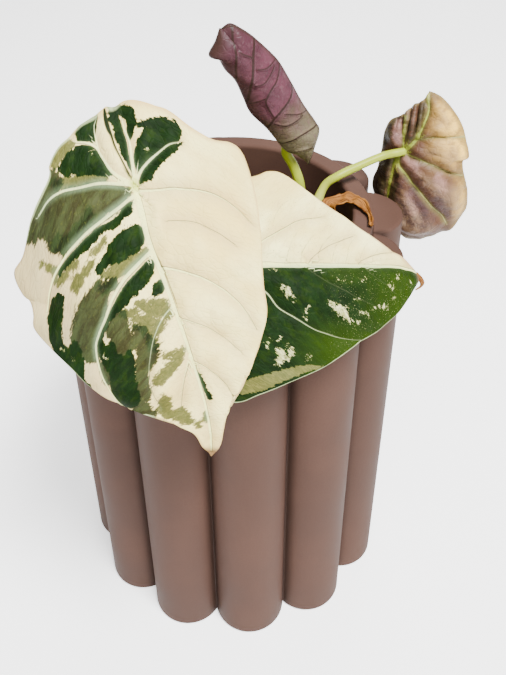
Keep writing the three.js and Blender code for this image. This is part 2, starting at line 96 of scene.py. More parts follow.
SIDE_LEAF = {
    "spine": [(-14.7, -47.8, 167.4), (11.9, -46.2, 168.5), (49.3, -43.2, 167.8), (56.2, -35.9, 152.8)],
    "length": 76.5,
    "face": (0, -0.545, 0.839),
    "curl": 90,
    "fold": (14, -4),
    "left": [(0, 0), (-5, -10), (-5, -24), (3, -35), (12.1, -38.7), (18.8, -36.8), (27, -33.6),
             (36.4, -29.7), (47.8, -22.5), (55.6, -18.4), (63.5, -12.5), (70.6, -5), (76.5, 0)],
    "right": [(0, 0), (-3, 8), (1, 20), (10, 27), (20.7, 27.8), (25, 29.1), (29.1, 27.9), (36.8, 18.9),
              (46, 11.2), (57.1, 4.9), (64.7, 2.4), (71.5, 1.3), (76.5, 0)],
    "ripple": (0.6, 5),
    "quilt": (0.6, 15, 0.3, 4),
    "joint": (12.5, 0),
    "glow": 0.3,
    "rows": 200,
    "columns": 170,
}

SMALL_LEAF = {
    "spine": [(67.2, 21.1, 186.6), (67.5, 10.6, 174), (65, 8.6, 156.2), (69.5, 11, 132.7)],
    "length": 56.6,
    "face": (-0.3, -0.85, 0.45),
    "curl": 26,
    "fold": (0, 0),
    "left": [(0, 0), (3.3, -2), (5.4, -5.5), (9.1, -9.1), (11.8, -13.7), (17.9, -16.3), (24.9, -17.1),
             (33.9, -18.5), (40.2, -21), (44.1, -20.4), (50.7, -14.6), (56.1, -8.7), (57.9, -4), (57, 0)],
    "right": [(0, 0), (2.6, 3.7), (7.1, 7.2), (11.8, 10), (17.3, 12.1), (25.4, 14.1), (27.7, 12.1),
              (36.6, 14.3), (41.8, 15.1), (46.9, 15.1), (51.2, 12.6), (54.5, 9.1), (55.6, 4.1), (57, 0)],
    "ripple": (0.6, 6),
    "pillow_height": 2.9,
    "pillow_reach": 5.5,
    "vein_drop": 1.2,
    "rib_height": 0.5,
    "rows": 190,
    "columns": 140,
}

YOUNG_LEAF = {
    "spine": [(26.6, 7.8, 167.3), (20.4, 6.9, 185.2), (8.4, 2.8, 203.8), (-0.8, 0, 217.8)],
    "length": 58.2,
    "face": (0, -0.85, 0.45),
    "curl": 400,
    "fold": (0, 0),
    "left": [(0, -0.4), (5.4, -3.8), (10.4, -7.6), (13.5, -7.7), (21.2, -6.9), (29.7, -7.3), (37.5, -7.8),
             (42.6, -7.2), (46.5, -6.5), (49.8, -5.8), (53.6, -4.6), (57.6, -3.1), (58.8, -0.4)],
    "right": [(0, 0.4), (6.5, 3.1), (10.4, 5.6), (20.7, 7.1), (28.9, 8.6), (34.9, 7.6), (41.4, 6.4),
              (46.7, 6.8), (50.8, 6.3), (52.8, 6.9), (54.2, 7.9), (56.4, 3.8), (59.4, 0.9)],
    "depth": 4.6,
    "full_half_width": 6,
    "inset": 0.45,
    "seam": 8,
    "lap": 0.5,
    "rib_height": 0.28,
    "half_thickness": 0.42,
    "rows": 170,
    "columns": 200,
}

# A vein is its half width at each end, then the places (along, across) that it runs through.
FRONT_VEINS = [
    (0.95, 0.3, [(16.7, 0.9), (22, 0.3), (30, -0.5), (38, -0.3), (50, -0.3), (70, -0.5), (98, -0.1)]),
    (0.45, 0.2, [(16.7, 0.4), (15.3, -4), (14.2, -8), (13.5, -13), (12.9, -18.6), (13.5, -22.5),
                 (15.6, -27)]),
    (0.42, 0.26, [(19.2, -0.5), (20.2, -4), (21.4, -9), (22.9, -15), (24.6, -20), (27, -25), (31, -30),
                  (36, -33.7)]),
    (0.5, 0.2, [(32, -0.8), (33.4, -4.5), (35.9, -10), (39.5, -15), (43.3, -18.6), (47, -22),
                (50.3, -23.8),
                (57, -24.7), (65, -24.1), (70, -22.7), (73, -20.9)]),
    (0.2, 0.1, [(46, -0.6), (50, -6), (57, -10.5), (66, -13), (76, -12)]),
    (0.2, 0.1, [(60, -0.6), (68, -4.5), (77, -7)]),
    (0.5, 0.14, [(16.3, 0.2), (13.2, -3.3), (9.8, -4.7), (6.8, -5.9), (5.3, -8.4), (4.6, -11)]),
    (0.3, 0.14, [(8.2, -5.2), (5.4, -5.2), (3, -4.7), (1.6, -3.4)]),
    (0.5, 0.2, [(16.4, 1.2), (13.5, 2), (9.8, 2.9), (7.8, 3.2), (5.2, 2.9), (3.4, 3.1)]),
    (0.45, 0.14, [(16.6, 1.6), (14.9, 3.4), (13, 6.9), (11.7, 10.2), (10.9, 13.4), (11, 16)]),
    (0.3, 0.12, [(18.4, 1.4), (19.4, 5), (20.4, 10), (22, 15), (24, 19.4), (27, 23), (31, 25.8),
                 (34, 27.2)]),
    (0.12, 0.08, [(27, 6), (29, 12), (32.6, 16.4), (37.4, 20.4)]),
    (0.34, 0.12, [(36.6, 0.8), (39, 5), (42, 9), (46, 12.6), (51, 15.6), (56, 17.4), (60, 18.2)]),
    (0.2, 0.1, [(50, 0.5), (56, 7), (65, 12.4)]),
    (0.18, 0.1, [(63, 0.3), (70, 5), (77, 7.2)]),
]

SIDE_VEINS = [
    (0.95, 0.3, [(12, 0), (22, -0.2), (30, -0.7), (42, -1.0), (52, -0.6), (62, 0.2), (76, 0.8)]),
    (0.22, 0.12, [(14, -3), (21, -7.4), (24.2, -12), (28, -15), (33, -18.5), (37, -20), (41, -21.2),
                  (45, -21.8),
                 (48, -21.8)]),
    (0.05, 0.03, [(31, -1.4), (38, -6), (47, -10.5), (56, -12.5)]),
    (0.05, 0.03, [(47, -1.2), (53, -4.5), (60, -7.5)]),
    (0.3, 0.12, [(13, -1), (8, -10), (10, -20), (14, -30)]),
    (0.24, 0.12, [(17, 1), (21.2, 6.3), (24.5, 8.5), (28, 10.5), (30.5, 12), (34, 13), (37, 13.7)]),
    (0.1, 0.06, [(33, 0.6), (38, 4.5), (45, 7.6)]),
    (0.2, 0.1, [(13, 1), (11, 10), (16, 22)]),
    (0.1, 0.06, [(47, 0.4), (52, 2.6), (58, 3.8)]),
]

SMALL_VEINS = [
    (0.55, 0.4, [(25, -8.5), (20, -8.3), (15, -8.4), (10, -8)]),
    (0.85, 0.4, [(25, -8.3), (22, -5.8), (18.6, -3.7), (14, -2.1), (7.5, -0.3), (1.3, -0.6)]),
    (0.35, 0.2, [(19.4, -4.2), (18.2, 0.5), (17.9, 6), (17.6, 12)]),
    (0.45, 0.2, [(25.2, -7.6), (26.9, -1.8), (28.7, 2.7), (30.8, 7.1), (32.5, 12)]),
    (0.55, 0.28, [(26.4, -9.6), (30.2, -9.4), (32.6, -7.3), (36.3, -4), (39.7, -0.7), (44, 2.7),
                  (47.5, 6),
                  (50.5, 7.6)]),
    (0.85, 0.6, [(26, -9.4), (28.4, -10.8), (32.5, -11.6), (37, -12.3), (43, -13)]),
    (0.4, 0.2, [(24.8, -9.4), (25.6, -13), (28, -17)]),
]

YOUNG_VEINS = [
    (0.24, 0.2, [(12.8, -8.2), (13.8, -4.4), (14.5, 0), (14.2, 6.4)]),
    (0.3, 0.26, [(30, -7.6), (27.7, -5), (26.6, -2.2), (25.7, 1.1), (24.4, 4.4), (21.6, 7.4)]),
    (0.2, 0.18, [(25.2, 3.6), (29.1, 3.5), (31.9, 2.8), (33.8, 0), (34.9, -3.3), (37.4, -7.6)]),
    (0.16, 0.14, [(32.6, 2.8), (33.1, 7.6)]),
    (0.38, 0.3, [(49.8, -6.2), (47.4, -2.8), (42.4, 1.1), (38, 4.4), (33.8, 7.6)]),
    (0.3, 0.24, [(57.6, -3), (55.2, -1.1), (52.2, 1.1), (47.4, 3.9), (44.1, 5.6), (40.4, 7)]),
    (0.15, 0.1, [(39.5, -7.4), (40.5, -3.3), (42.2, -0.8)]),
    (0.15, 0.1, [(38.8, -5.4), (37.2, 0), (38.2, 3)]),
    (0.17, 0.12, [(18.8, -7.4), (21.3, -3.3), (24.1, 0)]),
    (0.18, 0.14, [(19.7, -4.6), (20.2, 1.1), (23, 4.6)]),
    (0.14, 0.1, [(46.2, -1.7), (50.8, 0.7)]),
    (0.14, 0.08, [(6.7, -4.6), (8.8, -0.4), (9.6, 3)]),
]

# A marking is a stroke, a list of (along, across, half width) that it runs through.
FRONT_DARK = [
    [(4.3, -9.6, 0.6), (3.7, -8.2, 1.4), (3.4, -6.6, 1.9), (2.4, -4.9, 1.3), (1.3, -3.2, 0.5)],
    [(3, -6.6, 1.6), (4.8, -6.2, 1.0)],
    [(8.9, -17, 0.4), (8.8, -14.6, 1.6), (8.5, -11.5, 2.7), (8.9, -8.6, 2.9), (10.2, -6.8, 2.2),
     (12.2, -5.2, 1.2), (13.3, -4, 0.4)],
    [(0.6, 1.0, 0.7), (2.5, 1.3, 1.2), (5, 1.25, 1.1), (8, 1.25, 1.1), (10.4, 1.15, 0.8),
     (12.6, 1.2, 0.5),
     (14.2, 1.3, 0.2)],
    [(1.3, 2.4, 0.7), (1.8, 3.8, 1.1), (2.4, 5.2, 1.3), (3.5, 5.8, 1.3), (5.0, 5.2, 1.1), (6.2, 4.3, 0.9),
     (7.2, 3.7, 0.5)],
    [(9.2, 16.6, 0.9), (8.4, 14.2, 2.9), (8.3, 11.5, 3.2), (9.6, 9, 3.0), (10.9, 6.9, 2.6),
     (12.2, 5, 2.0),
     (13.8, 3.7, 1.0)],
    [(6.0, 6.6, 0.3), (5.6, 8.2, 0.6), (6.0, 10.5, 1.1)],
    [(11.3, 17.2, 0.2), (11.8, 15.2, 0.5), (12.4, 12.8, 1.0), (13.4, 10, 1.2), (14.7, 7, 1.3),
     (15.8, 5, 1.2),
     (16.8, 3, 0.5)],
    [(29.3, -26.4, 0.4), (28.2, -25, 0.7), (27.2, -22.6, 0.7), (26.3, -20, 0.95), (25.5, -17, 1.2),
     (24, -13, 0.95), (23.3, -10, 0.7), (23.5, -8, 0.95), (22.7, -5.3, 0.8), (21.4, -3, 0.9),
     (20.4, -1.4, 0.4)],
    [(32, -15.6, 0.6), (30.9, -13.6, 1.1), (30.2, -11.4, 1.6), (29.3, -8.8, 2.4), (28.5, -6, 2.75),
     (27.8, -3.8, 2.6), (27, -2.6, 1.9)],
    [(34.6, -2, 1.0), (36.6, -4.6, 1.8), (38, -7.6, 1.9), (39.4, -10.6, 1.6), (41.4, -14, 1.2),
     (43.6, -17.6, 0.8), (46, -20.2, 0.8), (48.6, -21.9, 0.8), (51, -21.6, 1.6), (54, -20.8, 2.4),
     (57.6, -18.8, 3.4), (61, -19.3, 3.3), (65, -20.1, 3.6), (68.6, -19.8, 3.3), (71, -20.8, 1.4)],
    [(39.2, -1.2, 0.5), (40.6, -2, 1.3), (42, -3.6, 0.7)],
    [(50.8, -18.6, 0.9), (52.4, -19.6, 1.3)],
    [(53.8, -15.2, 0.8), (55.6, -15.8, 1.2), (58.4, -16.8, 1.6)],
    [(34.4, -28, 0.9), (35.6, -29.8, 2.0), (38.4, -31.5, 2.3), (41.6, -32.9, 2.0), (44.6, -33.6, 1.9),
     (47.4, -33.4, 2.0), (50, -32.2, 1.9)],
    [(46.6, -28.8, 0.8), (48.6, -29.6, 1.9), (51, -30.4, 2.3), (53.4, -30.6, 2.0), (56, -30.4, 1.1),
     (58.4, -30, 0.6), (61, -28.8, 0.3)],
    [(65, -0.2, 0.2), (67.6, 0.3, 0.4), (70, 0.7, 0.6), (72, 0.7, 0.45), (73.6, 1, 0.55),
     (75.6, 1.3, 0.6)],
]

# Hairlines stay sharp, where the other markings fray. The second front hairline is a painted shadow beside
# the midrib.
FRONT_HAIR = [
    [(0.6, -0.6, 0.45), (2.5, -0.9, 0.7), (4.5, -1.1, 0.65), (6, -0.85, 0.45), (9, -0.7, 0.34),
     (12, -0.15, 0.34),
     (14.5, 0.4, 0.32), (16.2, 0.95, 0.2)],
    [(32.6, 0.5, 0.1), (36, 0.75, 0.24), (42, 0.9, 0.24), (48, 0.75, 0.16), (52, 0.6, 0.05)],
]

SIDE_HAIR = [
    [(27, 0.5, 0.05), (27.4, 3, 0.06), (28.6, 6, 0.04), (30, 8.4, 0.02)],
    [(30.4, 0.3, 0.06), (30.9, 3, 0.07), (32.4, 5.6, 0.05), (34.4, 8, 0.02)],
    [(34.8, 0.2, 0.06), (35.4, 3.2, 0.07), (37, 6, 0.05), (39.6, 8.6, 0.02)],
    [(38.6, 0.2, 0.05), (39, 2.6, 0.06), (40.6, 5.4, 0.04), (42.4, 7.2, 0.02)],
    [(42.5, 0, 0.07), (42.9, 3, 0.08), (44.2, 5.6, 0.05), (46.2, 7.6, 0.02)],
    [(46.4, 0.1, 0.05), (46.9, 2.6, 0.06), (48.4, 5, 0.04), (50.4, 6.8, 0.02)],
    [(50.4, 0.3, 0.06), (51, 2.4, 0.06), (52.6, 4.4, 0.03), (54.4, 5.6, 0.02)],
    [(24.6, 12, 0.02), (25.6, 15, 0.04), (27.4, 17.4, 0.03), (29.4, 19, 0.02)],
]

FRONT_GREY = [
    [(17.2, -29.6, 1.2), (17.6, -25, 3.2), (18, -20, 4.2), (18, -15, 4.2), (17.8, -10, 3.4),
     (18, -5.5, 2.2),
     (18.2, -2.6, 0.9)],
    [(22.6, -24.6, 1.6), (22, -20, 1.6), (21, -15, 0.9)],
    [(10.4, -19.4, 1.4), (12.6, -22.4, 1.6), (15.4, -26.6, 1.5), (18.6, -30.4, 1.4)],
    [(35.6, -13, 0.7), (36.8, -17, 1.6), (40, -20.8, 3.1), (44, -24, 3.5), (48.6, -25.7, 2.6),
     (52, -25.4, 1.1)],
    [(44, -14.4, 1.2), (47, -16.2, 2.6), (50.4, -15.6, 2.4), (53, -17.4, 1.4), (55, -18.2, 1.0)],
    [(49.6, -11, 1.2), (52.6, -10.8, 1.9), (55.6, -10.6, 2.4), (58.6, -12.6, 2.0), (61, -14, 1.1)],
    [(60.4, -13.8, 0.9), (64, -14.9, 1.5), (67.6, -15.2, 1.4), (69.6, -15.4, 0.8)],
    [(71.6, -17.4, 1.6), (74.6, -16.6, 1.6), (77, -14.8, 0.9)],
    [(55.4, -23.2, 0.6), (58, -23, 0.9), (61, -23.4, 0.6)],
]

FRONT_OLIVE = [
    [(7.0, -18.0, 1.2), (5.6, -15.6, 1.3), (4.7, -12.4, 1.0)],
    [(11.4, -19.2, 0.9), (12, -15, 1.0), (12.4, -10, 1.0), (13.4, -6.4, 0.7)],
    [(23.4, -24.4, 1.1), (23.2, -20.6, 1.2), (22.6, -17.8, 0.9), (19.8, -12.6, 0.6)],
    [(25.8, -29.6, 0.8), (27.2, -27.8, 0.9)],
    [(28.6, -23.2, 0.7), (28, -20.8, 0.8)],
    [(30.8, -27.2, 0.8), (30, -24.4, 0.7)],
    [(33.6, -23.2, 0.6), (32.2, -21.2, 1.1)],
    [(31.2, -19.2, 0.7), (29.4, -16.8, 0.5)],
    [(28.2, -16, 0.5), (26.8, -13.4, 0.6), (26, -11.6, 0.4)],
    [(34, -14, 0.9), (33.2, -9, 1.4), (32, -4, 0.9), (31.4, -2.4, 0.5)],
    [(36, -16.4, 0.7), (35.4, -12.6, 0.6)],
    [(43.4, -5.4, 0.6), (45, -3, 1.2), (47.6, -2.4, 0.7)],
    [(43, -13.2, 0.6), (44.2, -11.6, 0.9), (43.4, -9.4, 0.5)],
    [(45.8, -10.4, 0.4), (46.6, -8, 0.9), (45.6, -6.4, 0.5)],
    [(48, -11.6, 0.5), (48.6, -9, 0.7)],
    [(42.4, -8.6, 0.5), (44.4, -6.8, 1.1), (46.6, -4.6, 1.0), (47.8, -3, 0.5)],
    [(46, -10.4, 0.7), (48, -7.6, 1.2), (49, -5, 0.7)],
    [(50, -6.6, 1.2), (51.8, -8.6, 1.4), (55, -8.6, 1.0)],
    [(65.4, -11.4, 0.7), (64.2, -9.4, 1.3), (62, -6.2, 1.3), (60, -3.6, 1.0), (58.4, -1.8, 0.4)],
    [(58.6, -6.6, 0.4), (57.9, -5.2, 0.7)],
    [(71, -10.3, 0.9), (74, -10.8, 1.4), (77, -10.8, 1.9), (79, -9.8, 1.5)],
    [(75.4, -12.8, 0.7), (76.8, -11.6, 1.0)],
    [(78.4, -7.4, 1.3), (80.6, -6.4, 1.5), (82, -5.4, 1.1)],
    [(83.6, -3.6, 0.6), (85.6, -2.9, 0.4)],
    [(81, -0.9, 0.25), (84, -1.2, 0.2)],
]

FRONT_FLECKS = [
    [(46.8, -33, 0.5), (47.4, -32.4, 0.4)],
    [(50.2, -31.2, 0.4), (51, -31, 0.4)],
    [(52.2, -22.4, 0.5), (53.4, -21.8, 0.6)],
    [(10.4, 6.6, 0.3), (10.6, 7.2, 0.3)],
    [(7.4, -7.8, 0.4), (7.8, -6.8, 0.3)],
]

SIDE_GREEN = [
    [(-10, -20, 19.4), (40, -20, 19.3), (60, -20, 19.9), (78, -20, 20.6)],
]

SIDE_PATCH = [
    [(14.5, -34.5, 2.0), (18, -33.6, 2.4), (23, -32, 2.0), (28, -30.4, 1.6), (32, -29.6, 1.2),
     (36, -29.4, 0.5)],
]

SIDE_FLECKS = [
    [(23.6, -27.6, 1.1), (24.8, -25.6, 1.4), (23.4, -24, 1.0)],
    [(26.4, -26.8, 0.9), (27, -24.6, 1.0), (26.4, -22.8, 0.6)],
    [(21, -23, 0.6), (21.2, -21.4, 0.7)],
    [(23.8, -21.4, 0.7), (24.2, -20.6, 0.5)],
    [(30.8, -26.8, 0.6), (32.4, -26.6, 0.9)],
    [(28.3, -10.4, 0.5), (27, -8.4, 1.1), (26, -6.8, 1.0)],
    [(22.8, -1.7, 0.5), (24, -2.2, 0.6)],
    [(31.6, -16, 0.5), (31, -13.6, 0.6), (31.8, -12, 0.4)],
    [(37.6, -11.4, 0.9), (39.6, -12.8, 1.3), (42, -14.8, 1.2), (43.6, -16.6, 0.8)],
    [(40.6, -12.6, 0.7), (42.6, -12.6, 0.6)],
    [(45.6, -16.6, 0.9), (46.4, -17.2, 0.6)],
    [(46, -14.6, 0.5), (48.4, -14, 0.6), (49.4, -15.6, 0.4)],
    [(44.4, -10.4, 0.4), (47.8, -10.2, 0.4)],
    [(51.4, -12.8, 0.4), (54.8, -11.8, 0.7), (57, -12, 1.0)],
    [(57, -5.2, 0.6), (58.6, -6.2, 0.8)],
    [(59.6, -3.6, 0.6), (60.4, -2.6, 0.6)],
    [(58.8, -9.2, 0.6), (60.2, -8.8, 0.5)],
    [(47, -5, 0.5), (47.8, -4.4, 0.5)],
    [(40, -5, 0.4), (44, -5.4, 0.3)],
    [(67, -3.8, 0.6), (67.4, -3.4, 0.5)],
]

SMALL_PURPLE = [
    [(38, 3.4, 1.2), (42, 5.6, 2.4), (46.5, 7.6, 1.8)],
    [(36, -5.5, 1.2), (39, -3.4, 1.8), (43, -0.6, 2.4), (47, 0.6, 2.6), (51, 1, 2.0)],
    [(36, -9.2, 1.0), (40, -8.4, 1.6), (44, -6.6, 1.8), (49, -3.6, 2.0)],
    [(16.6, -11.6, 0.8), (20.4, -11.2, 1.2)],
    [(31, -3.6, 0.6), (35, 0.4, 1.0)],
]

SMALL_SHADE = [
    [(9.6, -12.4, 1.4), (14, -14.6, 2.4), (19, -15.4, 2.2), (24.5, -16.6, 1.4)],
    [(28.6, -12.6, 1.4), (31.6, -15.4, 2.2), (35, -16.6, 3.2), (40, -18, 3.6), (44, -17, 2.2)],
    [(33.6, -9.4, 0.7), (38, -10.2, 0.9), (43, -10.6, 0.7)],
    [(5, -1.9, 0.5), (9, -2.8, 0.9), (13.4, -4, 1.1), (18.4, -5.2, 0.9), (20.6, -6, 0.4)],
    [(9.4, -5.2, 0.3), (14, -6.6, 0.5), (20, -7.2, 0.5)],
    [(27.2, -10, 1.2), (29, -12, 1.0)],
]

SMALL_BLUSH = [
    [(27.6, -7.4, 1.0), (29.2, -4.6, 1.6), (31.8, -2.6, 1.2)],
    [(12, -11.4, 1.0), (16.4, -10.8, 1.7), (21, -10.4, 1.3)],
    [(6.4, -7.2, 1.2), (9.6, -7, 1.4), (12.4, -6.6, 0.9)],
    [(33, 4, 1.2), (36.4, 7, 1.6)],
    [(40.6, -5.4, 1.0), (45.4, -3, 1.3)],
]

# Petioles. Each path starts in its socket in the crown.
PETIOLES = {
    "petiole_front": {
        "path": [(19.5, 1, SOCKET_FOOT), (17.5, 0.4, 150), (5, -3, 166), (-11, -12, 181),
                 (-20.5, -27, 189.2),
                 (-24.5, -39, 190.6)],
        "radius": 2.0,
        "sheath": 0.35,
    },
    "petiole_side": {
        "path": [(23.5, -3.5, SOCKET_FOOT), (22.5, -6.5, 150), (17, -17, 158.5), (8, -32, 163.5),
                 (-1.5, -46.9, 168.3)],
        "radius": 1.9,
        "sheath": 0.35,
    },
    "petiole_young": {
        "path": [(23, 6.5, SOCKET_FOOT), (23.8, 6.8, 152), (23.7, 6.3, 160), (21.4, 7.6, 167),
                 (19, 7.4, 172),
                 (19.5, 5.8, 178)],
        "radius": 1.7,
        "sheath": 0.4,
    },
    "petiole_small": {
        "path": [(28.5, 4.2, SOCKET_FOOT), (29.2, 5, 151), (32.6, 8.4, 158.4), (36.5, 9, 161.2),
                 (43.8, 12, 163.2), (52.6, 15, 165.3), (56.6, 15, 166.3), (59.9, 15.8, 166.4)],
        "radius": 1.45,
        "sheath": 0.3,
    },
}
SHEATH_SWELL = 0.5
NECK_THINNING = 0.05

DRIED_SHEATH = {
    "path": [(32.5, -2.6, 148), (31.6, -1.4, 153), (33.6, 0.4, 155.8), (36.9, 0.9, 156.7),
             (40.2, 0.8, 157.0),
             (42.6, -1.6, 157.4), (44.2, -5.4, 157.2), (45.2, -10.4, 157.2), (44.6, -14.8, 157.2)],
    "half_width": 2.7,
    "curl_height": 0.7,
    "half_thickness": 0.22,
}

CURLED_TIP = {
    "path": [(54.8, -35.4, 153.9), (56.5, -35.5, 152.3), (57.5, -35.4, 150.4), (57.2, -35, 148.8),
             (55.9, -34.7, 147.4)],
    "half_width": 1.0,
    "taper": 0.85,
    "half_thickness": 0.2,
}


class AlocasiaSizes(PropertyGroup):
    """Sizes of the planter and of the finishes."""

    column_count: IntProperty(
        name="Columns", description="Round columns in the planter's ring", default=12, min=3)
    column_radius: FloatProperty(
        name="Column radius", description="Radius of one column", default=0.013, subtype="DISTANCE",
        unit="LENGTH")
    ring_radius: FloatProperty(
        name="Ring radius", description="Radius of the ring on which the columns stand", default=0.046,
        subtype="DISTANCE", unit="LENGTH")
    column_height: FloatProperty(
        name="Column height", description="Height of the columns' flat tops", default=0.15,
        subtype="DISTANCE", unit="LENGTH")
    ring_turn: FloatProperty(
        name="Ring turn", description="Turn of the ring of columns from the front",
        default=math.radians(5.1), subtype="ANGLE", unit="ROTATION")
    blade_thickness: FloatProperty(
        name="Blade thickness", description="Thickness of the leaf blades", default=0.0009,
        subtype="DISTANCE", unit="LENGTH", precision=5)
    chip_count: IntProperty(
        name="Bark chips", description="Loose chips on the potting mix", default=520, min=0)


class AlocasiaColours(PropertyGroup):
    """Colours of the finishes."""

    ceramic: FloatVectorProperty(
        name="Ceramic", description="Matte ceramic of the planter", default=(0.072, 0.0385, 0.0285),
        subtype="COLOR", size=3, min=0, max=1)
    cream: FloatVectorProperty(
        name="Cream", description="Pale sectors of the blades", default=(0.93, 0.84, 0.35),
        subtype="COLOR", size=3, min=0, max=1)
    dark_green: FloatVectorProperty(
        name="Dark green", description="Dark sectors of the blades", default=(0.0031, 0.0096, 0.0018),
        subtype="COLOR", size=3, min=0, max=1)
    grey_green: FloatVectorProperty(
        name="Grey green", description="Marbled sectors of the blades", default=(0.0125, 0.0205, 0.0065),
        subtype="COLOR", size=3, min=0, max=1)
    olive: FloatVectorProperty(
        name="Olive", description="Olive flecks of the blades", default=(0.046, 0.058, 0.0095),
        subtype="COLOR", size=3, min=0, max=1)
    vein: FloatVectorProperty(
        name="Vein", description="Pale veins of the blades", default=(0.5, 0.58, 0.29),
        subtype="COLOR", size=3, min=0, max=1)
    stalk: FloatVectorProperty(
        name="Stalk", description="Lime green of the petioles", default=(0.27, 0.32, 0.018),
        subtype="COLOR", size=3, min=0, max=1)
    purple: FloatVectorProperty(
        name="Purple", description="Rolled young blade", default=(0.068, 0.022, 0.032),
        subtype="COLOR", size=3, min=0, max=1)
    bronze: FloatVectorProperty(
        name="Bronze", description="Small puckered blade", default=(0.105, 0.054, 0.021),
        subtype="COLOR", size=3, min=0, max=1)
    soil: FloatVectorProperty(
        name="Soil", description="Potting mix", default=(0.028, 0.018, 0.011),
        subtype="COLOR", size=3, min=0, max=1)


# Curves and surfaces

# Straight steps from point to point along a path, a marking and a vein.
PATH_STEPS = 40
STROKE_STEPS = 3
VEIN_STEPS = 6
# Distances from veins and markings are cut off here, in millimetres.
FAR = 40.0


def smooth(value, low, high):
    """0 below low and 1 above high, with an S-shaped rise between them."""
    t = np.clip((np.asarray(value, float) - low) / (high - low), 0, 1)
    return t * t * (3 - 2 * t)


def unit(vectors):
    """The vectors divided by their lengths."""
    return vectors / np.linalg.norm(vectors, axis=-1, keepdims=True)


def around(count):
    """Angles of count even places round a full turn."""
    return np.linspace(0, 2 * math.pi, count, endpoint=False)


def hermite(start, end, slope_start, slope_end, w):
    """The cubic from start to end with these slopes at its ends, at w from 0 to 1."""
    return ((2 * w**3 - 3 * w**2 + 1) * start + (w**3 - 2 * w**2 + w) * slope_start
            + (3 * w**2 - 2 * w**3) * end + (w**3 - w**2) * slope_end)


def spline(points, t):
    """Uniform Catmull-Rom curve through the points at t from 0 to 1: between two points it is the cubic
    whose slope at each is half the step between that point's neighbours."""
    points = np.asarray(points, float)
    last = len(points) - 1
    place = np.clip(t, 0, 1) * last
    i = np.minimum(place.astype(int), last - 1)
    before, start = points[np.maximum(i - 1, 0)], points[i]
    end, after = points[i + 1], points[np.minimum(i + 2, last)]
    return hermite(start, end, (end - before) / 2, (after - start) / 2, (place - i)[..., None])


def route(points, count):
    """A smooth path of count points, evenly spaced by length, on the centripetal Catmull-Rom curve
    through the given points, with its end points mirrored outward."""
    points = np.asarray(points, float)
    full = np.vstack([2 * points[0] - points[1], points, 2 * points[-1] - points[-2]])
    steps = np.sqrt(np.linalg.norm(np.diff(full, axis=0), axis=1))
    w = np.linspace(0, 1, PATH_STEPS, endpoint=False)[:, None]
    pieces = []
    for i in range(len(points) - 1):
        p0, p1, p2, p3 = full[i:i + 4]
        d0, d1, d2 = steps[i:i + 3]
        slope1 = ((p1 - p0) / d0 - (p2 - p0) / (d0 + d1) + (p2 - p1) / d1) * d1
        slope2 = ((p2 - p1) / d1 - (p3 - p1) / (d1 + d2) + (p3 - p2) / d2) * d1
        pieces.append(hermite(p1, p2, slope1, slope2, w))
    dense = np.vstack(pieces + [points[-1:]])
    length = np.concatenate([[0], np.cumsum(np.linalg.norm(np.diff(dense, axis=0), axis=1))])
    at = np.linspace(0, length[-1], count)
    return np.stack([np.interp(at, length, dense[:, axis]) for axis in range(3)], axis=-1)


def bezier(knots, t):
    """Cubic Bezier curve: the knots weighted by (1-t)^3, 3(1-t)^2 t, 3(1-t)t^2 and t^3."""
    knots = np.asarray(knots, float)
    t = np.asarray(t, float)[..., None]
    u = 1 - t
    return u**3 * knots[0] + 3 * u**2 * t * knots[1] + 3 * u * t**2 * knots[2] + t**3 * knots[3]


def bezier_slope(knots, t):
    """The Bezier curve's slope: the steps between knots weighted by 3(1-t)^2, 6(1-t)t and 3t^2."""
    first, second, third = np.diff(np.asarray(knots, float), axis=0)
    t = np.asarray(t, float)[..., None]
    u = 1 - t
    return 3 * (u**2 * first + 2 * u * t * second + t**2 * third)


def sheet_points(leaf, along, across, height):
    """The bent sheet of a blade. Each half is an arc of the curl radius round the spine, turned by its
    fold, and height lifts a point off it: x = curl sin(b / curl), y = height - curl (1 - cos(b / curl))."""
    t = along / leaf["length"]
    tangent = unit(bezier_slope(leaf["spine"], t))
    over = unit(np.cross(np.broadcast_to(np.asarray(leaf["face"], float), tangent.shape), tangent))
    out = np.cross(tangent, over)
    sign = np.where(across < 0, -1.0, 1.0)
    fold = np.radians(np.where(across < 0, leaf["fold"][0], leaf["fold"][1]))
    angle = np.abs(across) / leaf["curl"]
    x = leaf["curl"] * np.sin(angle)
    y = height - leaf["curl"] * (1 - np.cos(angle))
    move_over = sign * (np.cos(fold) * x + np.sin(fold) * y)
    move_out = -np.sin(fold) * x + np.cos(fold) * y
    return bezier(leaf["spine"], t) + over * move_over[..., None] + out * move_out[..., None]


def margins(leaf, row):
    """The left and the right margin's places at the rows, on the blade laid flat."""
    return spline(leaf["left"], row), spline(leaf["right"], row)


def flat_places(leaf, row, side):
    """Where a blade's point lies on the blade laid flat: from the spine at the row, side 0, in a straight
    line to the left margin at the same row, side -1, or to the right one, side 1."""
    left, right = margins(leaf, row)
    edge = np.where((side < 0)[..., None], left, right)
    middle = leaf["left"][0][0] + (leaf["left"][-1][0] - leaf["left"][0][0]) * row
    reach = np.abs(side)
    return middle + (edge[..., 0] - middle) * reach, edge[..., 1] * reach


def margin_distance(leaf, row, side):
    """Distance from the margin in millimetres, measured across the blade."""
    left, right = margins(leaf, row)
    return (1 - np.abs(side)) * np.where(side < 0, np.abs(left[..., 1]), np.abs(right[..., 1]))


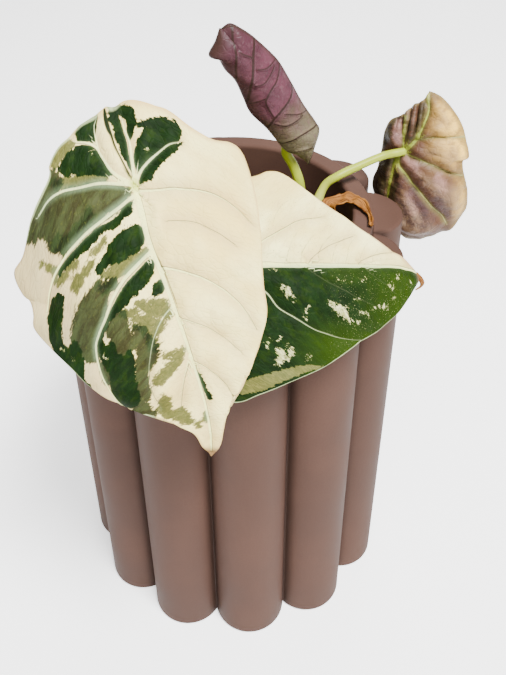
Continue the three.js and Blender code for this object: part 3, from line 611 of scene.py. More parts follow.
def stroke_steps(along, across, strokes, per_point):
    """For each short straight step on the Catmull-Rom curves through the strokes' points: the distance
    from its middle line, its half width there, and the side of it on which a place lies, -1 or 1."""
    for stroke in strokes:
        points = spline(stroke, np.linspace(0, 1, (len(stroke) - 1) * per_point + 1))
        for (a0, b0, r0), (a1, b1, r1) in zip(points[:-1], points[1:]):
            step_a, step_b = a1 - a0, b1 - b0
            from_a, from_b = along - a0, across - b0
            t = np.clip((from_a * step_a + from_b * step_b) / (step_a**2 + step_b**2), 0, 1)
            distance = np.hypot(from_a - t * step_a, from_b - t * step_b)
            side = np.where(step_a * from_b - step_b * from_a < 0, -1.0, 1.0)
            yield distance, r0 + (r1 - r0) * t, side


def mark_fields(along, across, marks):
    """For each kind of marking, how far a place lies inside the nearest stroke, in millimetres. It is
    less than 0 outside them all."""
    fields = {}
    for key, strokes in marks.items():
        best = np.full(along.shape, -FAR)
        for distance, radius, _ in stroke_steps(along, across, strokes, STROKE_STEPS):
            best = np.maximum(best, radius - distance)
        fields[key] = best
    return fields


def vein_strokes(veins):
    """Veins as strokes: the half width changes evenly from the first point to the last."""
    strokes = []
    for start, end, places in veins:
        widths = np.linspace(start, end, len(places))
        strokes.append([(a, b, w) for (a, b), w in zip(places, widths)])
    return strokes


def vein_fields(along, across, veins):
    """For the nearest vein: the signed distance from its middle line, which changes sign across it, the
    distance from its edge, and its half width there, in millimetres."""
    near = np.full(along.shape, FAR)
    signed = np.full(along.shape, FAR)
    width = np.zeros(along.shape)
    for distance, radius, side in stroke_steps(along, across, vein_strokes(veins), VEIN_STEPS):
        nearer = distance - radius < near
        near = np.where(nearer, distance - radius, near)
        signed = np.where(nearer, side * distance, signed)
        width = np.where(nearer, radius, width)
    return {"vein_side": signed, "vein_near": near, "vein_width": width}


def waves(x, y, seed, count, finest, coarsest):
    """A smooth irregular relief between about -1 and 1: a sum of plane waves with drawn directions,
    phases and lengths."""
    draw = np.random.default_rng(seed)
    total = np.zeros(np.broadcast(x, y).shape)
    for _ in range(count):
        angle, phase = draw.uniform(0, 2 * math.pi, 2)
        length = draw.uniform(finest, coarsest)
        total += np.sin((x * math.cos(angle) + y * math.sin(angle)) * 2 * math.pi / length + phase)
    return total / math.sqrt(count)


def blade_ripple(leaf, row, side):
    """Ripples along the margin: height |side|^3 sin(pi row) sin(2 pi count row + phase)."""
    height, count = leaf["ripple"]
    right_phase = 1.3
    phase = 2 * math.pi * count * row + np.where(side < 0, 0, right_phase)
    return height * np.abs(side) ** 3 * np.sin(math.pi * row) * np.sin(phase)


def blade_quilt(leaf, side, along, across):
    """Swellings between the side veins: a squared sine of the place along the spine, slanted outward."""
    height, spacing, slant, start = leaf["quilt"]
    full_from = 12
    place = (along - slant * np.abs(across) - start) / spacing
    fade = np.minimum(np.abs(across) / full_from, 1) * (1 - side**2)
    return height * fade * (2 * np.sin(math.pi * place) ** 2 - 1)


# Meshes

# Points closer than this merge, and edges shorter than this go, in metres.
MERGE_DISTANCE = 1e-7
SHORTEST_EDGE = 1e-8
# Millimetres of a flat place for one unit of the UV map.
UV_UNIT = 100


def grid_faces(rows, columns):
    """Corner numbers of a grid's squares, row by row."""
    i, j = np.meshgrid(np.arange(rows - 1), np.arange(columns - 1), indexing="ij")
    a = (i * columns + j).ravel()
    return np.stack([a, a + columns, a + columns + 1, a + 1], axis=-1)


def strip_faces(first, second):
    """Corner numbers of the squares between two rows of points of equal length."""
    return np.stack([first[:-1], second[:-1], second[1:], first[1:]], axis=-1)


def make_piece(name, points, faces, materials, face_materials=None, attributes=None, flat=None):
    """A mesh object at the origin from points in millimetres and squares or triangles, with its
    attributes on points and its UV map from the flat places."""
    mesh = bpy.data.meshes.new(name)
    points = np.asarray(points, float).reshape(-1, 3)
    mesh.vertices.add(len(points))
    mesh.vertices.foreach_set("co", (points * MM).ravel())
    sides = faces.shape[1]
    mesh.loops.add(faces.size)
    mesh.loops.foreach_set("vertex_index", faces.ravel().astype(np.int32))
    mesh.polygons.add(len(faces))
    mesh.polygons.foreach_set("loop_start", np.arange(0, faces.size, sides, dtype=np.int32))
    mesh.polygons.foreach_set("use_smooth", np.ones(len(faces), bool))
    for material in materials:
        mesh.materials.append(material)
    if face_materials is not None:
        mesh.polygons.foreach_set("material_index", np.asarray(face_materials, np.int32))
    for key, values in (attributes or {}).items():
        layer = mesh.attributes.new(key, "FLOAT", "POINT")
        layer.data.foreach_set("value", np.asarray(values, np.float32).ravel())
    if flat is not None:
        uv = mesh.uv_layers.new(name="flat")
        places = flat.reshape(-1, 2)[faces.ravel()] / UV_UNIT
        uv.data.foreach_set("uv", places.astype(np.float32).ravel())
    mesh.update(calc_edges=True)
    mesh.validate()
    piece = bpy.data.objects.new(name, mesh)
    bpy.context.scene.collection.objects.link(piece)
    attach(piece, "root")
    return piece


def close_poles(piece):
    """Merges the points that coincide at seams and poles, and turns every face outward."""
    shape = bmesh.new()
    shape.from_mesh(piece.data)
    bmesh.ops.remove_doubles(shape, verts=shape.verts, dist=MERGE_DISTANCE)
    bmesh.ops.dissolve_degenerate(shape, edges=shape.edges, dist=SHORTEST_EDGE)
    bmesh.ops.recalc_face_normals(shape, faces=shape.faces)
    shape.to_mesh(piece.data)
    shape.free()


def thick_sheet(name, middle, half_thickness, materials, flat, attributes):
    """A closed sheet round a grid of middle points: each point is moved out and in along the grid's
    normal by the half thickness, and four strips join the two faces at the edges."""
    rows, columns = middle.shape[:2]
    normal = unit(np.cross(np.gradient(middle, axis=0), np.gradient(middle, axis=1)))
    lift = normal * np.broadcast_to(half_thickness, (rows, columns))[..., None]
    count = rows * columns
    number = np.arange(count).reshape(rows, columns)
    rims = [
        strip_faces(number[:, 0] + count, number[:, 0])[:, ::-1],
        strip_faces(number[:, -1] + count, number[:, -1]),
        strip_faces(number[0] + count, number[0]),
        strip_faces(number[-1] + count, number[-1])[:, ::-1],
    ]
    upper = grid_faces(rows, columns)
    lower = upper[:, ::-1] + count
    rim = np.vstack(rims)
    faces = np.vstack([upper, lower, rim])
    face_materials = np.concatenate([np.zeros(len(upper)), np.ones(len(lower)), np.zeros(len(rim))])
    doubled = {key: np.concatenate([value.ravel()] * 2) for key, value in attributes.items()}
    points = np.stack([middle + lift, middle - lift])
    return make_piece(name, points, faces, materials, face_materials, doubled, np.stack([flat, flat]))


def ring_points(centre, radius, angle, z):
    """Points round a centre, counted from the front: x = cx + r sin(angle), y = cy - r cos(angle)."""
    x = centre[0] + radius * np.sin(angle)
    y = centre[1] - radius * np.cos(angle)
    return np.stack(np.broadcast_arrays(x, y, z), axis=-1)


def turned(name, rings, finish, attributes=None):
    """A closed body of rings, an array (ring, segment, 3) whose first and last rings are poles."""
    rings = np.asarray(rings)
    rows, segments = rings.shape[:2]
    number = np.arange(rows * segments).reshape(rows, segments)
    wrapped = np.hstack([number, number[:, :1]])
    faces = [wrapped[:-1, :-1], wrapped[:-1, 1:], wrapped[1:, 1:], wrapped[1:, :-1]]
    faces = np.stack(faces, axis=-1).reshape(-1, 4)
    piece = make_piece(name, rings, faces, [finish], attributes=attributes)
    close_poles(piece)
    return piece


def tube_rings(path, radii, sides):
    """Rings round a path: each is a circle of its radius square to the path, and no ring twists against
    the last, because its first direction is the last one's with its part along the path taken off."""
    tangents = unit(np.gradient(path, axis=0))
    first = np.cross(tangents[0], (0.0, 1.0, 0.3))
    firsts = []
    for tangent in tangents:
        first = unit(first - tangent * np.dot(first, tangent))
        firsts.append(first)
    firsts = np.array(firsts)
    seconds = np.cross(tangents, firsts)
    angle = around(sides)[None, :, None]
    circle = firsts[:, None] * np.cos(angle) + seconds[:, None] * np.sin(angle)
    return path[:, None] + circle * np.asarray(radii)[:, None, None]


# Materials

# A colour mix node's sockets, whose names its number and vector sockets share.
MIX_FACTOR = 0
MIX_FIRST = 6
MIX_SECOND = 7
MIX_COLOUR = 2

# A chip whose drawn tone is above this is pumice.
PUMICE_TONE = 0.93


def toned(colour, *factors):
    """A colour with its channels multiplied by one factor, or by one each, and kept to 1."""
    if len(factors) == 1:
        factors = factors * len(colour)
    return tuple(min(1, value * factor) for value, factor in zip(colour, factors))


class Finish:
    """A material's node tree, with short calls for the nodes that the finishes share."""

    def __init__(self, name, roughness):
        self.material = bpy.data.materials.new(name)
        self.material.use_nodes = True
        self.tree = self.material.node_tree
        self.shader = self.tree.nodes["Principled BSDF"]
        self.shader.inputs["Roughness"].default_value = roughness

    def link(self, value, socket):
        """Sets a socket to a plain value, or links it to another socket, or to the number of this name
        that is kept on the mesh's points."""
        if isinstance(value, str):
            value = self.node("Attribute", "Fac", {}, attribute_name=value)
        if isinstance(value, bpy.types.NodeSocket):
            self.tree.links.new(value, socket)
        elif socket.type == "RGBA":
            socket.default_value = (*value, 1)
        else:
            socket.default_value = value

    def node(self, kind, output, inputs, **settings):
        """Adds a node with its inputs and settings, and hands over one of its outputs."""
        node = self.tree.nodes.new("ShaderNode" + kind)
        for name, value in settings.items():
            setattr(node, name, value)
        for name, value in inputs.items():
            self.link(value, node.inputs[name])
        return node.outputs[output]

    def surface(self, inputs):
        """Sets inputs of the surface shader, and hands over the material."""
        for name, value in inputs.items():
            self.link(value, self.shader.inputs[name])
        return self.material

    def place(self, scale=(1, 1, 1), source="Object"):
        """Coordinates from a source, scaled."""
        coordinates = self.node("TexCoord", source, {})
        return self.node("Mapping", "Vector", {"Vector": coordinates, "Scale": scale})

    def flat(self, along=1, across=1):
        """The flat UV map, scaled along and across."""
        return self.place((along, across, 1), "UV")

    def noise(self, vector, scale, detail, roughness, distortion=0):
        """Fractal noise between 0 and 1."""
        return self.node("TexNoise", "Fac", {
            "Vector": vector, "Scale": scale, "Detail": detail, "Roughness": roughness,
            "Distortion": distortion,
        })

    def cells(self, vector):
        """Distance to the border of the nearest cell."""
        inputs = {"Vector": vector, "Scale": 1}
        return self.node("TexVoronoi", "Distance", inputs, feature="DISTANCE_TO_EDGE")

    def math(self, operation, first, second=0.0):
        """A sum of one or two numbers."""
        return self.node("Math", "Value", {0: first, 1: second}, operation=operation)

    def times(self, first, second):
        """Two numbers multiplied."""
        return self.math("MULTIPLY", first, second)

    def plus(self, first, second):
        """Two numbers added."""
        return self.math("ADD", first, second)

    def spread(self, noise, middle, factor):
        """A noise less its middle, times a factor."""
        return self.times(self.math("SUBTRACT", noise, middle), factor)

    def rise(self, value, low, high, start=0, end=1):
        """An S-shaped rise from start to end as the value goes from low to high."""
        return self.node("MapRange", "Result", {
            "Value": value, "From Min": low, "From Max": high, "To Min": start, "To Max": end,
        }, interpolation_type="SMOOTHSTEP")

    def mix(self, factor, first, second):
        """Two colours mixed by a factor."""
        inputs = {MIX_FACTOR: factor, MIX_FIRST: first, MIX_SECOND: second}
        return self.node("Mix", MIX_COLOUR, inputs, data_type="RGBA")

    def layers(self, colour, *coats):
        """A colour with coats over it, each a (factor, colour)."""
        for factor, coat in coats:
            colour = self.mix(factor, colour, coat)
        return colour

    def bump(self, height, distance, strength, normal=None):
        """A bumped normal from a height between 0 and 1, whose full rise is the distance in metres."""
        inputs = {"Strength": strength, "Distance": distance, "Height": height}
        if normal is not None:
            inputs["Normal"] = normal
        return self.node("Bump", "Normal", inputs)


def ceramic_finish(colours):
    """Matte stoneware slip: soft cloudy tone, fine sandy grain, a slightly rougher bloom, and painted shade
    in the creases between the columns.
    """
    finish = Finish("ceramic", 0.6)
    place = finish.place()
    cloud = finish.noise(place, 28, 3, 0.5)
    grain = finish.noise(place, 1500, 2, 0.6)
    base = colours.ceramic
    colour = finish.layers(
        toned(base, 0.9),
        (finish.rise(cloud, 0.35, 0.68), toned(base, 1.1)),
        (finish.rise(grain, 0.3, 0.75, 0, 0.16), toned(base, 0.6)),
        # Painted shade: the ceramic darkens towards the creases between the columns.
        (finish.times("crease_shade", 0.8), toned(base, 0.3)),
    )
    return finish.surface({
        "Base Color": colour,
        "Roughness": finish.rise(cloud, 0.3, 0.7, 0.52, 0.64),
        "Specular IOR Level": 0.05,
        "Normal": finish.bump(grain, 0.00006, 0.5),
    })


def soil_finish(colours):
    """Damp potting mix: dark crumbs with brown fibres."""
    finish = Finish("potting mix", 0.95)
    place = finish.place()
    crumb = finish.noise(place, 420, 6, 0.7)
    patch = finish.noise(place, 90, 4, 0.6)
    colour = finish.layers(
        tuple(colours.soil),
        (finish.rise(crumb, 0.42, 0.72), toned(colours.soil, 3.2)),
        (finish.rise(patch, 0.55, 0.75, 0, 0.6), toned(colours.soil, 0.5)),
    )
    return finish.surface({"Base Color": colour, "Normal": finish.bump(crumb, 0.0008, 0.9)})


def chip_finish():
    """Bark chips and pumice grains: a drawn tone on each chip picks brown bark or pale pumice."""
    finish = Finish("bark chips", 0.9)
    grain = finish.noise(finish.place(), 600, 5, 0.65)
    pumice = finish.mix(finish.rise(grain, 0.35, 0.7), (0.42, 0.38, 0.32), (0.66, 0.62, 0.55))
    colour = finish.layers(
        (0.05, 0.026, 0.014),
        ("tone", (0.19, 0.095, 0.045)),
        (finish.rise(grain, 0.4, 0.7, 0, 0.7), (0.025, 0.014, 0.009)),
        (finish.rise("tone", PUMICE_TONE, PUMICE_TONE + 0.01), pumice),
    )
    return finish.surface({"Base Color": colour, "Normal": finish.bump(grain, 0.0005, 0.8)})


def crown_finish():
    """Rough brown-green stub with paler leaf scars."""
    finish = Finish("crown", 0.8)
    fibre = finish.noise(finish.place((1, 1, 3)), 260, 5, 0.65)
    colour = finish.mix(finish.rise(fibre, 0.35, 0.7), (0.09, 0.06, 0.028), (0.27, 0.23, 0.1))
    return finish.surface({"Base Color": colour, "Normal": finish.bump(fibre, 0.0005, 0.8)})


def stalk_finish(colours):
    """Smooth green stalk, paler at its sheath and brown at its foot."""
    finish = Finish("stalk", 0.42)
    stripe = finish.noise(finish.flat(0.6, 9), 12, 3, 0.5)
    colour = finish.layers(
        tuple(colours.stalk),
        (finish.rise(stripe, 0.3, 0.75), toned(colours.stalk, 1.35)),
        (finish.rise("rise", 0.12, 0.5, 1, 0), (0.42, 0.41, 0.1)),
        (finish.rise("rise", 0.02, 0.16, 0.55, 0), (0.16, 0.09, 0.03)),
    )
    return finish.surface({
        "Base Color": colour,
        "Specular IOR Level": 0.25,
        "Subsurface Weight": 0.12,
        "Subsurface Radius": (0.0012, 0.0014, 0.0005),
        "Normal": finish.bump(stripe, 0.0001, 0.4),
    })


def fine_veins(finish):
    """The net of the finest veins on a blade, as the distance to the nearest of them."""
    return finish.cells(finish.flat(60, 44))


def skin_relief(finish, net, grain_depth, grain_strength, net_width, net_depth):
    """A blade's skin: its net of fine veins over a velvet grain."""
    grain = finish.noise(finish.flat(), 900, 2, 0.6)
    fine = finish.bump(grain, grain_depth, grain_strength)
    return finish.bump(finish.rise(net, 0, net_width), net_depth, 0.5, fine)


def vein_close(finish):
    """1 at a vein and 0 more than about a millimetre from it."""
    return finish.rise("vein_near", 0.7, 1.4, 1, 0)


def vein_core(finish):
    """1 on the veins themselves and 0 beside them."""
    off = finish.math("ABSOLUTE", "vein_side")
    off = finish.math("SUBTRACT", off, "vein_width")
    return finish.times(finish.rise(off, -0.12, 0.14, 1, 0), vein_close(finish))


def vein_halo(finish, reach):
    """The zone beside the veins, which fades from 1 to 0 within reach of them."""
    return finish.rise("vein_near", -0.2, reach, 1, 0)


def vein_shadow_line(finish):
    """A painted shadow: a hairline along one side of the veins."""
    beside = finish.math("SUBTRACT", "vein_side", "vein_width")
    beside = finish.math("ABSOLUTE", finish.math("SUBTRACT", beside, 0.16))
    return finish.times(finish.rise(beside, 0, 0.2, 1, 0), vein_close(finish))


def cream_skin(finish, colours, net):
    """Cream sectors: cloudy, with a blush, specks and a browner edge, darkened by painted shade where the
    mesh says and beside the side veins.
    """
    flat = finish.flat()
    cloud = finish.noise(flat, 7, 3, 0.5)
    blush = finish.noise(finish.flat(1, 0.6), 26, 5, 0.65)
    speck = finish.noise(flat, 260, 2, 0.5)
    lateral = finish.rise("vein_width", 0.35, 0.6, 1, 0)
    # Painted shade beside the side veins, not the midrib, fading within about 3 mm of them.
    painted_vein_shade = finish.rise("vein_near", 0.2, 3.4, 0.45, 0)
    return finish.layers(
        toned(colours.cream, 0.84, 0.76, 0.66),
        (finish.rise(cloud, 0.32, 0.66), toned(colours.cream, 1.06, 1.1, 1.2)),
        (finish.rise(blush, 0.5, 0.78, 0, 0.38), (0.62, 0.42, 0.22)),
        (finish.rise(speck, 0.67, 0.71, 0, 0.7), (0.12, 0.085, 0.045)),
        (finish.rise("edge", 0.05, 1.1, 0.85, 0), (0.5, 0.3, 0.15)),
        ("warmth", (0.84, 0.64, 0.2)),
        # Painted shade: the cream darkens where the mesh's field says.
        ("painted_shade", (0.37, 0.29, 0.16)),
        (finish.rise(net, 0, 0.04, 0.06, 0), (0.5, 0.45, 0.25)),
        (finish.times(painted_vein_shade, lateral), (0.58, 0.43, 0.2)),
    )


def dark_skin(finish, colours, net, streak, fleck):
    """Dark green sectors, mottled and flecked with lighter greens."""
    patches = finish.noise(finish.flat(), 34, 5, 0.62, 0.4)
    return finish.layers(
        tuple(colours.dark_green),
        (finish.rise(streak, 0.3, 0.75), toned(colours.dark_green, 2.0)),
        (finish.rise(patches, 0.48, 0.66, 0, 0.4), (0.016, 0.034, 0.0012)),
        ("light", (0.026, 0.053, 0.0008)),
        (finish.rise(fleck, 0.6, 0.78, 0, 0.5), (0.034, 0.052, 0.006)),
        (finish.rise(net, 0, 0.05, 0.12, 0), toned(colours.dark_green, 3.2)),
    )


def marbling(finish, colours, colour, net):
    """The olive, grey, dark green and pale sectors over the cream. Noise that runs with the side veins
    frays their borders, and least beside a vein."""
    flat = finish.flat()
    streak = finish.noise(finish.flat(1, 0.38), 42, 6, 0.62, 0.3)
    fleck = finish.noise(finish.flat(1, 0.55), 120, 5, 0.72)
    clump = finish.noise(flat, 55, 6, 0.7, 0.2)
    crumbs = finish.noise(finish.flat(1, 0.7), 110, 5, 0.75)
    scatter = finish.spread(fleck, 0.5, 4)
    fray = finish.plus(scatter, finish.spread(streak, 0.5, 4.2))
    ragged = finish.plus(finish.spread(clump, 0.42, 2.9), finish.times(scatter, 0.3))
    off_vein = finish.rise("vein_near", 0.1, 1.8, 0.15, 1)
    broken = finish.math("MAXIMUM", finish.spread(crumbs, 0.58, 6), -2)
    olive_field = finish.plus("olive", fray)
    grey_field = finish.plus("grey", fray)
    dark_field = finish.plus("dark", finish.times(ragged, off_vein))
    pale_field = finish.plus("pale", broken)
    olive = finish.mix(finish.rise(fleck, 0.42, 0.66), tuple(colours.olive), (0.11, 0.108, 0.025))
    grey = finish.layers(
        toned(colours.grey_green, 0.45),
        (finish.rise(streak, 0.38, 0.62), toned(colours.grey_green, 1.6)),
        (finish.rise(fleck, 0.54, 0.68, 0, 0.7), tuple(colours.olive)),
    )
    pale = finish.mix(finish.rise(fleck, 0.4, 0.62), (0.3, 0.32, 0.1), (0.6, 0.58, 0.3))
    dust = finish.rise(finish.noise(flat, 340, 2, 0.5), 0.68, 0.71)
    marbled = finish.layers(
        colour,
        (finish.rise(olive_field, -0.6, 0.2, 0, 0.94), olive),
        (finish.rise(grey_field, -0.7, 0, 0, 0.97), grey),
        (finish.rise(dark_field, -0.1, 0.14), dark_skin(finish, colours, net, streak, fleck)),
        (finish.rise(pale_field, -0.1, 0.12), pale),
        (finish.times(dust, "dusted"), (0.5, 0.5, 0.22)),
    )
    return marbled, fleck


def vein_coats(finish, colours, core, glow):
    """Coats of a variegated blade's veins: a paler zone beside them, the vein, the margin, a painted shadow
    along one side of each vein, and the hairlines. glow is how far the veins pale what lies beside them."""
    green = finish.rise("green", -1.2, 1.2)
    halo = finish.times(vein_halo(finish, 1.6), finish.rise("vein_width", 0.15, 0.45, 0.1 * glow, glow))
    halo = finish.times(halo, finish.rise("dark", -0.3, 0.8, 0.8, 0.15))
    vein = finish.mix(green, toned(colours.cream, 0.92, 1.02, 0.95), tuple(colours.vein))
    margin = finish.rise("edge", 0.12, 0.5, 0.8, 0)
    return (
        (finish.times(halo, green), toned(colours.vein, 0.45, 0.56, 0.6)),
        (finish.times(core, finish.rise("vein_width", 0.06, 0.28, 0.05, 0.95)), vein),
        (finish.times(margin, green), tuple(colours.vein)),
        # Painted shadow along one side of each vein, strongest on the cream.
        (finish.times(vein_shadow_line(finish), finish.rise(green, 0, 1, 0.9, 0.2)), (0.085, 0.085, 0.045)),
        (finish.rise("hair", -0.12, 0.3), (0.012, 0.018, 0.006)),
    )


def variegated_finish(name, colours, glow, underside=False):
    """Variegated blade. Fields on the mesh say how far a place lies inside each sector, in
    millimetres."""
    finish = Finish(name, 0.6)
    net = fine_veins(finish)
    marbled, fleck = marbling(finish, colours, cream_skin(finish, colours, net), net)
    core = vein_core(finish)
    colour = finish.layers(
        marbled,
        *vein_coats(finish, colours, core, glow),
        ("joint", (0.42, 0.48, 0.07)),
        (finish.times("tip", 0.9), (0.15, 0.075, 0.028)),
    )
    if underside:
        colour = finish.mix(0.45, colour, (0.3, 0.25, 0.15))
    skin = skin_relief(finish, net, 0.00006, 0.4, 0.14, 0.0002)
    return finish.surface({
        "Base Color": colour,
        "Roughness": finish.rise(fleck, 0.3, 0.7, 0.54, 0.66),
        "Specular IOR Level": 0.05,
        "Subsurface Weight": 0.03,
        "Subsurface Radius": (0.001, 0.0012, 0.0004),
        "Normal": finish.bump(core, 0.00018, 0.6, skin),
    })


def bronze_finish(colours, name, inner=False):
    """Underside of the small blade: khaki to bronze-pink, bruised purple between lime green veins, with
    painted highlights on its swellings and painted shade beside the veins.
    """
    finish = Finish(name, 0.5)
    flat, net = finish.flat(), fine_veins(finish)
    mottle = finish.noise(flat, 30, 5, 0.65, 0.3)
    fleck = finish.noise(flat, 130, 4, 0.68)
    noise = finish.math("SUBTRACT", finish.plus(mottle, finish.times(fleck, 0.6)), 0.8)
    blush_field = finish.plus("blush", finish.spread(mottle, 0.5, 6))
    purple_field = finish.plus("purple", finish.times(noise, 11))
    shade_field = finish.plus("shade", finish.times(noise, 3.5))
    purple = finish.mix(finish.rise(fleck, 0.4, 0.65), (0.062, 0.03, 0.034), (0.026, 0.012, 0.014))
    shade = finish.mix(finish.rise(mottle, 0.4, 0.62), (0.014, 0.009, 0.004), (0.038, 0.028, 0.009))
    lime = finish.layers(
        (0.27, 0.24, 0.09),
        (finish.rise("vein_width", 0.28, 0.6), (0.3, 0.33, 0.045)),
        (finish.rise("shade", -3, 2), (0.09, 0.12, 0.008)),
    )
    colour = finish.layers(
        toned(colours.bronze, 0.8, 0.68, 0.9),
        ("khaki", toned(colours.bronze, 7.8, 9.4, 5.0)),
        (finish.rise(mottle, 0.42, 0.68, 0, 0.5), (0.095, 0.045, 0.028)),
        (finish.rise(blush_field, -1.2, 1.4, 0, 0.6), (0.36, 0.19, 0.16)),
        # Painted light and shade: lighter on the tops of the swellings, darker in the grooves beside the
        # veins.
        (finish.rise("swell", 0.62, 1, 0, 0.35), (0.34, 0.22, 0.12)),
        (finish.rise("swell", 0.12, 0.5, 0.55, 0), (0.05, 0.03, 0.013)),
        (finish.rise(purple_field, -1.4, 2.4, 0, 0.7), purple),
        (finish.rise(shade_field, -0.8, 0.8, 0, 0.94), shade),
        (finish.rise(net, 0, 0.05, 0.16, 0), (0.1, 0.06, 0.03)),
        (finish.rise("edge", 0.2, 1.4, 0.6, 0), (0.2, 0.14, 0.05)),
        (finish.times(vein_halo(finish, 1.4), 0.4), (0.22, 0.2, 0.05)),
        (vein_core(finish), lime),
    )
    if inner:
        colour = finish.mix(0.7, colour, (0.03, 0.045, 0.012))
    return finish.surface({
        "Base Color": colour,
        "Specular IOR Level": 0.25,
        "Subsurface Weight": 0.04,
        "Subsurface Radius": (0.001, 0.0008, 0.0004),
        "Normal": skin_relief(finish, net, 0.00008, 0.5, 0.14, 0.00016),
    })


def purple_finish(colours, name, inner=False):
    """Outside of the rolled young blade: purple above, pale green-beige below, with dark veins."""
    finish = Finish(name, 0.42)
    net = fine_veins(finish)
    cloud = finish.noise(finish.flat(), 20, 4, 0.6)
    streak = finish.noise(finish.flat(0.5, 1), 70, 4, 0.62)
    place = finish.plus("rise", finish.spread(cloud, 0.5, 0.3))
    low = finish.mix(finish.rise(cloud, 0.35, 0.65), (0.1, 0.083, 0.046), (0.14, 0.12, 0.068))
    vein = finish.times(finish.times(vein_core(finish), 0.9), "front")
    colour = finish.layers(
        toned(colours.purple, 0.72),
        (finish.rise(cloud, 0.3, 0.7), toned(colours.purple, 1.4)),
        (finish.rise(place, 0.7, 1, 0, 0.6), toned(colours.purple, 0.5)),
        (finish.rise(place, 0.2, 0.5, 1, 0), low),
        (finish.rise(streak, 0.5, 0.72, 0, 0.45), (0.13, 0.062, 0.072)),
        (finish.rise(net, 0, 0.06, 0.3, 0), (0.06, 0.025, 0.028)),
        ("shade", (0.035, 0.017, 0.013)),
        (vein, (0.022, 0.011, 0.008)),
    )
    if inner:
        colour = finish.mix(0.6, colour, (0.02, 0.035, 0.012))
    return finish.surface({
        "Base Color": colour,
        "Specular IOR Level": 0.12,
        "Normal": skin_relief(finish, net, 0.00006, 0.4, 0.12, 0.00012),
    })


def dried_finish():
    """Dry papery sheath: orange brown with darker fibres and clouds."""
    finish = Finish("dried sheath", 0.62)
    fibre = finish.noise(finish.flat(0.5, 7), 30, 5, 0.65)
    cloud = finish.noise(finish.place(), 180, 3, 0.6)
    colour = finish.layers(
        (0.07, 0.019, 0.002),
        (finish.rise(fibre, 0.35, 0.66), (0.32, 0.13, 0.024)),
        (finish.rise(cloud, 0.5, 0.7, 0, 0.5), (0.07, 0.022, 0.004)),
    )
    return finish.surface({
        "Base Color": colour,
        "Specular IOR Level": 0.15,
        "Normal": finish.bump(fibre, 0.0003, 0.8),
    })


# Pieces

# Counts of points round and along the pieces.
PLANTER_SEGMENTS = 720
SOIL_SEGMENTS = 200
SOIL_RINGS = 70
CROWN_SEGMENTS = 96
CROWN_RINGS = 60
STALK_SIDES = 28
STALK_RINGS = 110
SHEATH_GRID = (150, 26)
TIP_GRID = (40, 9)

# Lumps of the soil: a drawn radius and height, each from a least value over a span, in millimetres.
LUMP_RADIUS = (3.5, 4)
LUMP_HEIGHT = (0.8, 1.6)
DRAW_FACTOR = 16807
DRAW_PRIME = 2147483647

# Chips, in millimetres. Their width and height are shares of their length.
CHIP_SEED = 11
CHIP_EXPONENT = 3.2
CHIP_LENGTHS = (0.7, 2.1)
CHIP_WIDTHS = (0.4, 0.8)
CHIP_HEIGHTS = (0.22, 0.45)
CHIP_TILT = 0.35
CHIP_UNEVENNESS = 0.12
CHIP_LIFT = 0.25
PUMICE_SIZE = 0.8
WALL_MARGIN = 2.6
CROWN_MARGIN = 2.4

# Crown, in millimetres.
CROWN_INSET = 0.15
CROWN_SHOULDER = 2.4
SCARS_FROM = 139
SCAR_SPACING = 3.0
SCAR_DEPTH = 0.45
SCAR_WIDTH = 0.5

# Blades. Rows stop just short of the ends, and columns gather near the margins.
ROW_END = 0.0004
COLUMN_GATHER = 0.96 * math.pi / 2
MARGIN_THICKNESS = 0.35
MARGIN_ROUNDING = 0.6

# Relief of the large blades, in millimetres. A groove's depth and reach grow with the half width of its
# vein, and the skin between veins swells within its reach of them.
GROOVE_DEPTH = 1.5
GROOVE_REACH = (0.6, 2)
SWELL_HEIGHT = 1.5
SWELL_REACH = 4.5
UNEVENNESS = 0.22


def sizes():
    """The user's sizes."""
    return bpy.context.scene.alocasia_sizes


def colours():
    """The user's colours."""
    return bpy.context.scene.alocasia_colours


def column_turn(angle):
    """Angle from the middle of the nearest column, and the angle between two columns."""
    size = sizes()
    step = 2 * math.pi / size.column_count
    return (angle - size.ring_turn + step / 2) % step - step / 2, step


def lobed_radius(angle, inset):
    """Distance from the axis to the outside of the ring of columns: for the column whose middle is at
    angle m, R cos(angle - m) + sqrt((r - inset)^2 - (R sin(angle - m))^2)."""
    turn, _ = column_turn(angle)
    ring = sizes().ring_radius / MM
    radius = sizes().column_radius / MM - inset
    return ring * np.cos(turn) + np.sqrt(np.maximum(radius**2 - (ring * np.sin(turn)) ** 2, 0.0))


def rounding(radius, count, start=0.0):
    """Points round an edge between two flat faces, as distances from each: r (1 - cos a), which grows,
    and r (1 - sin a), which shrinks."""
    for angle in np.linspace(start, math.pi / 2, count):
        yield radius * (1 - math.cos(angle)), radius * (1 - math.sin(angle))


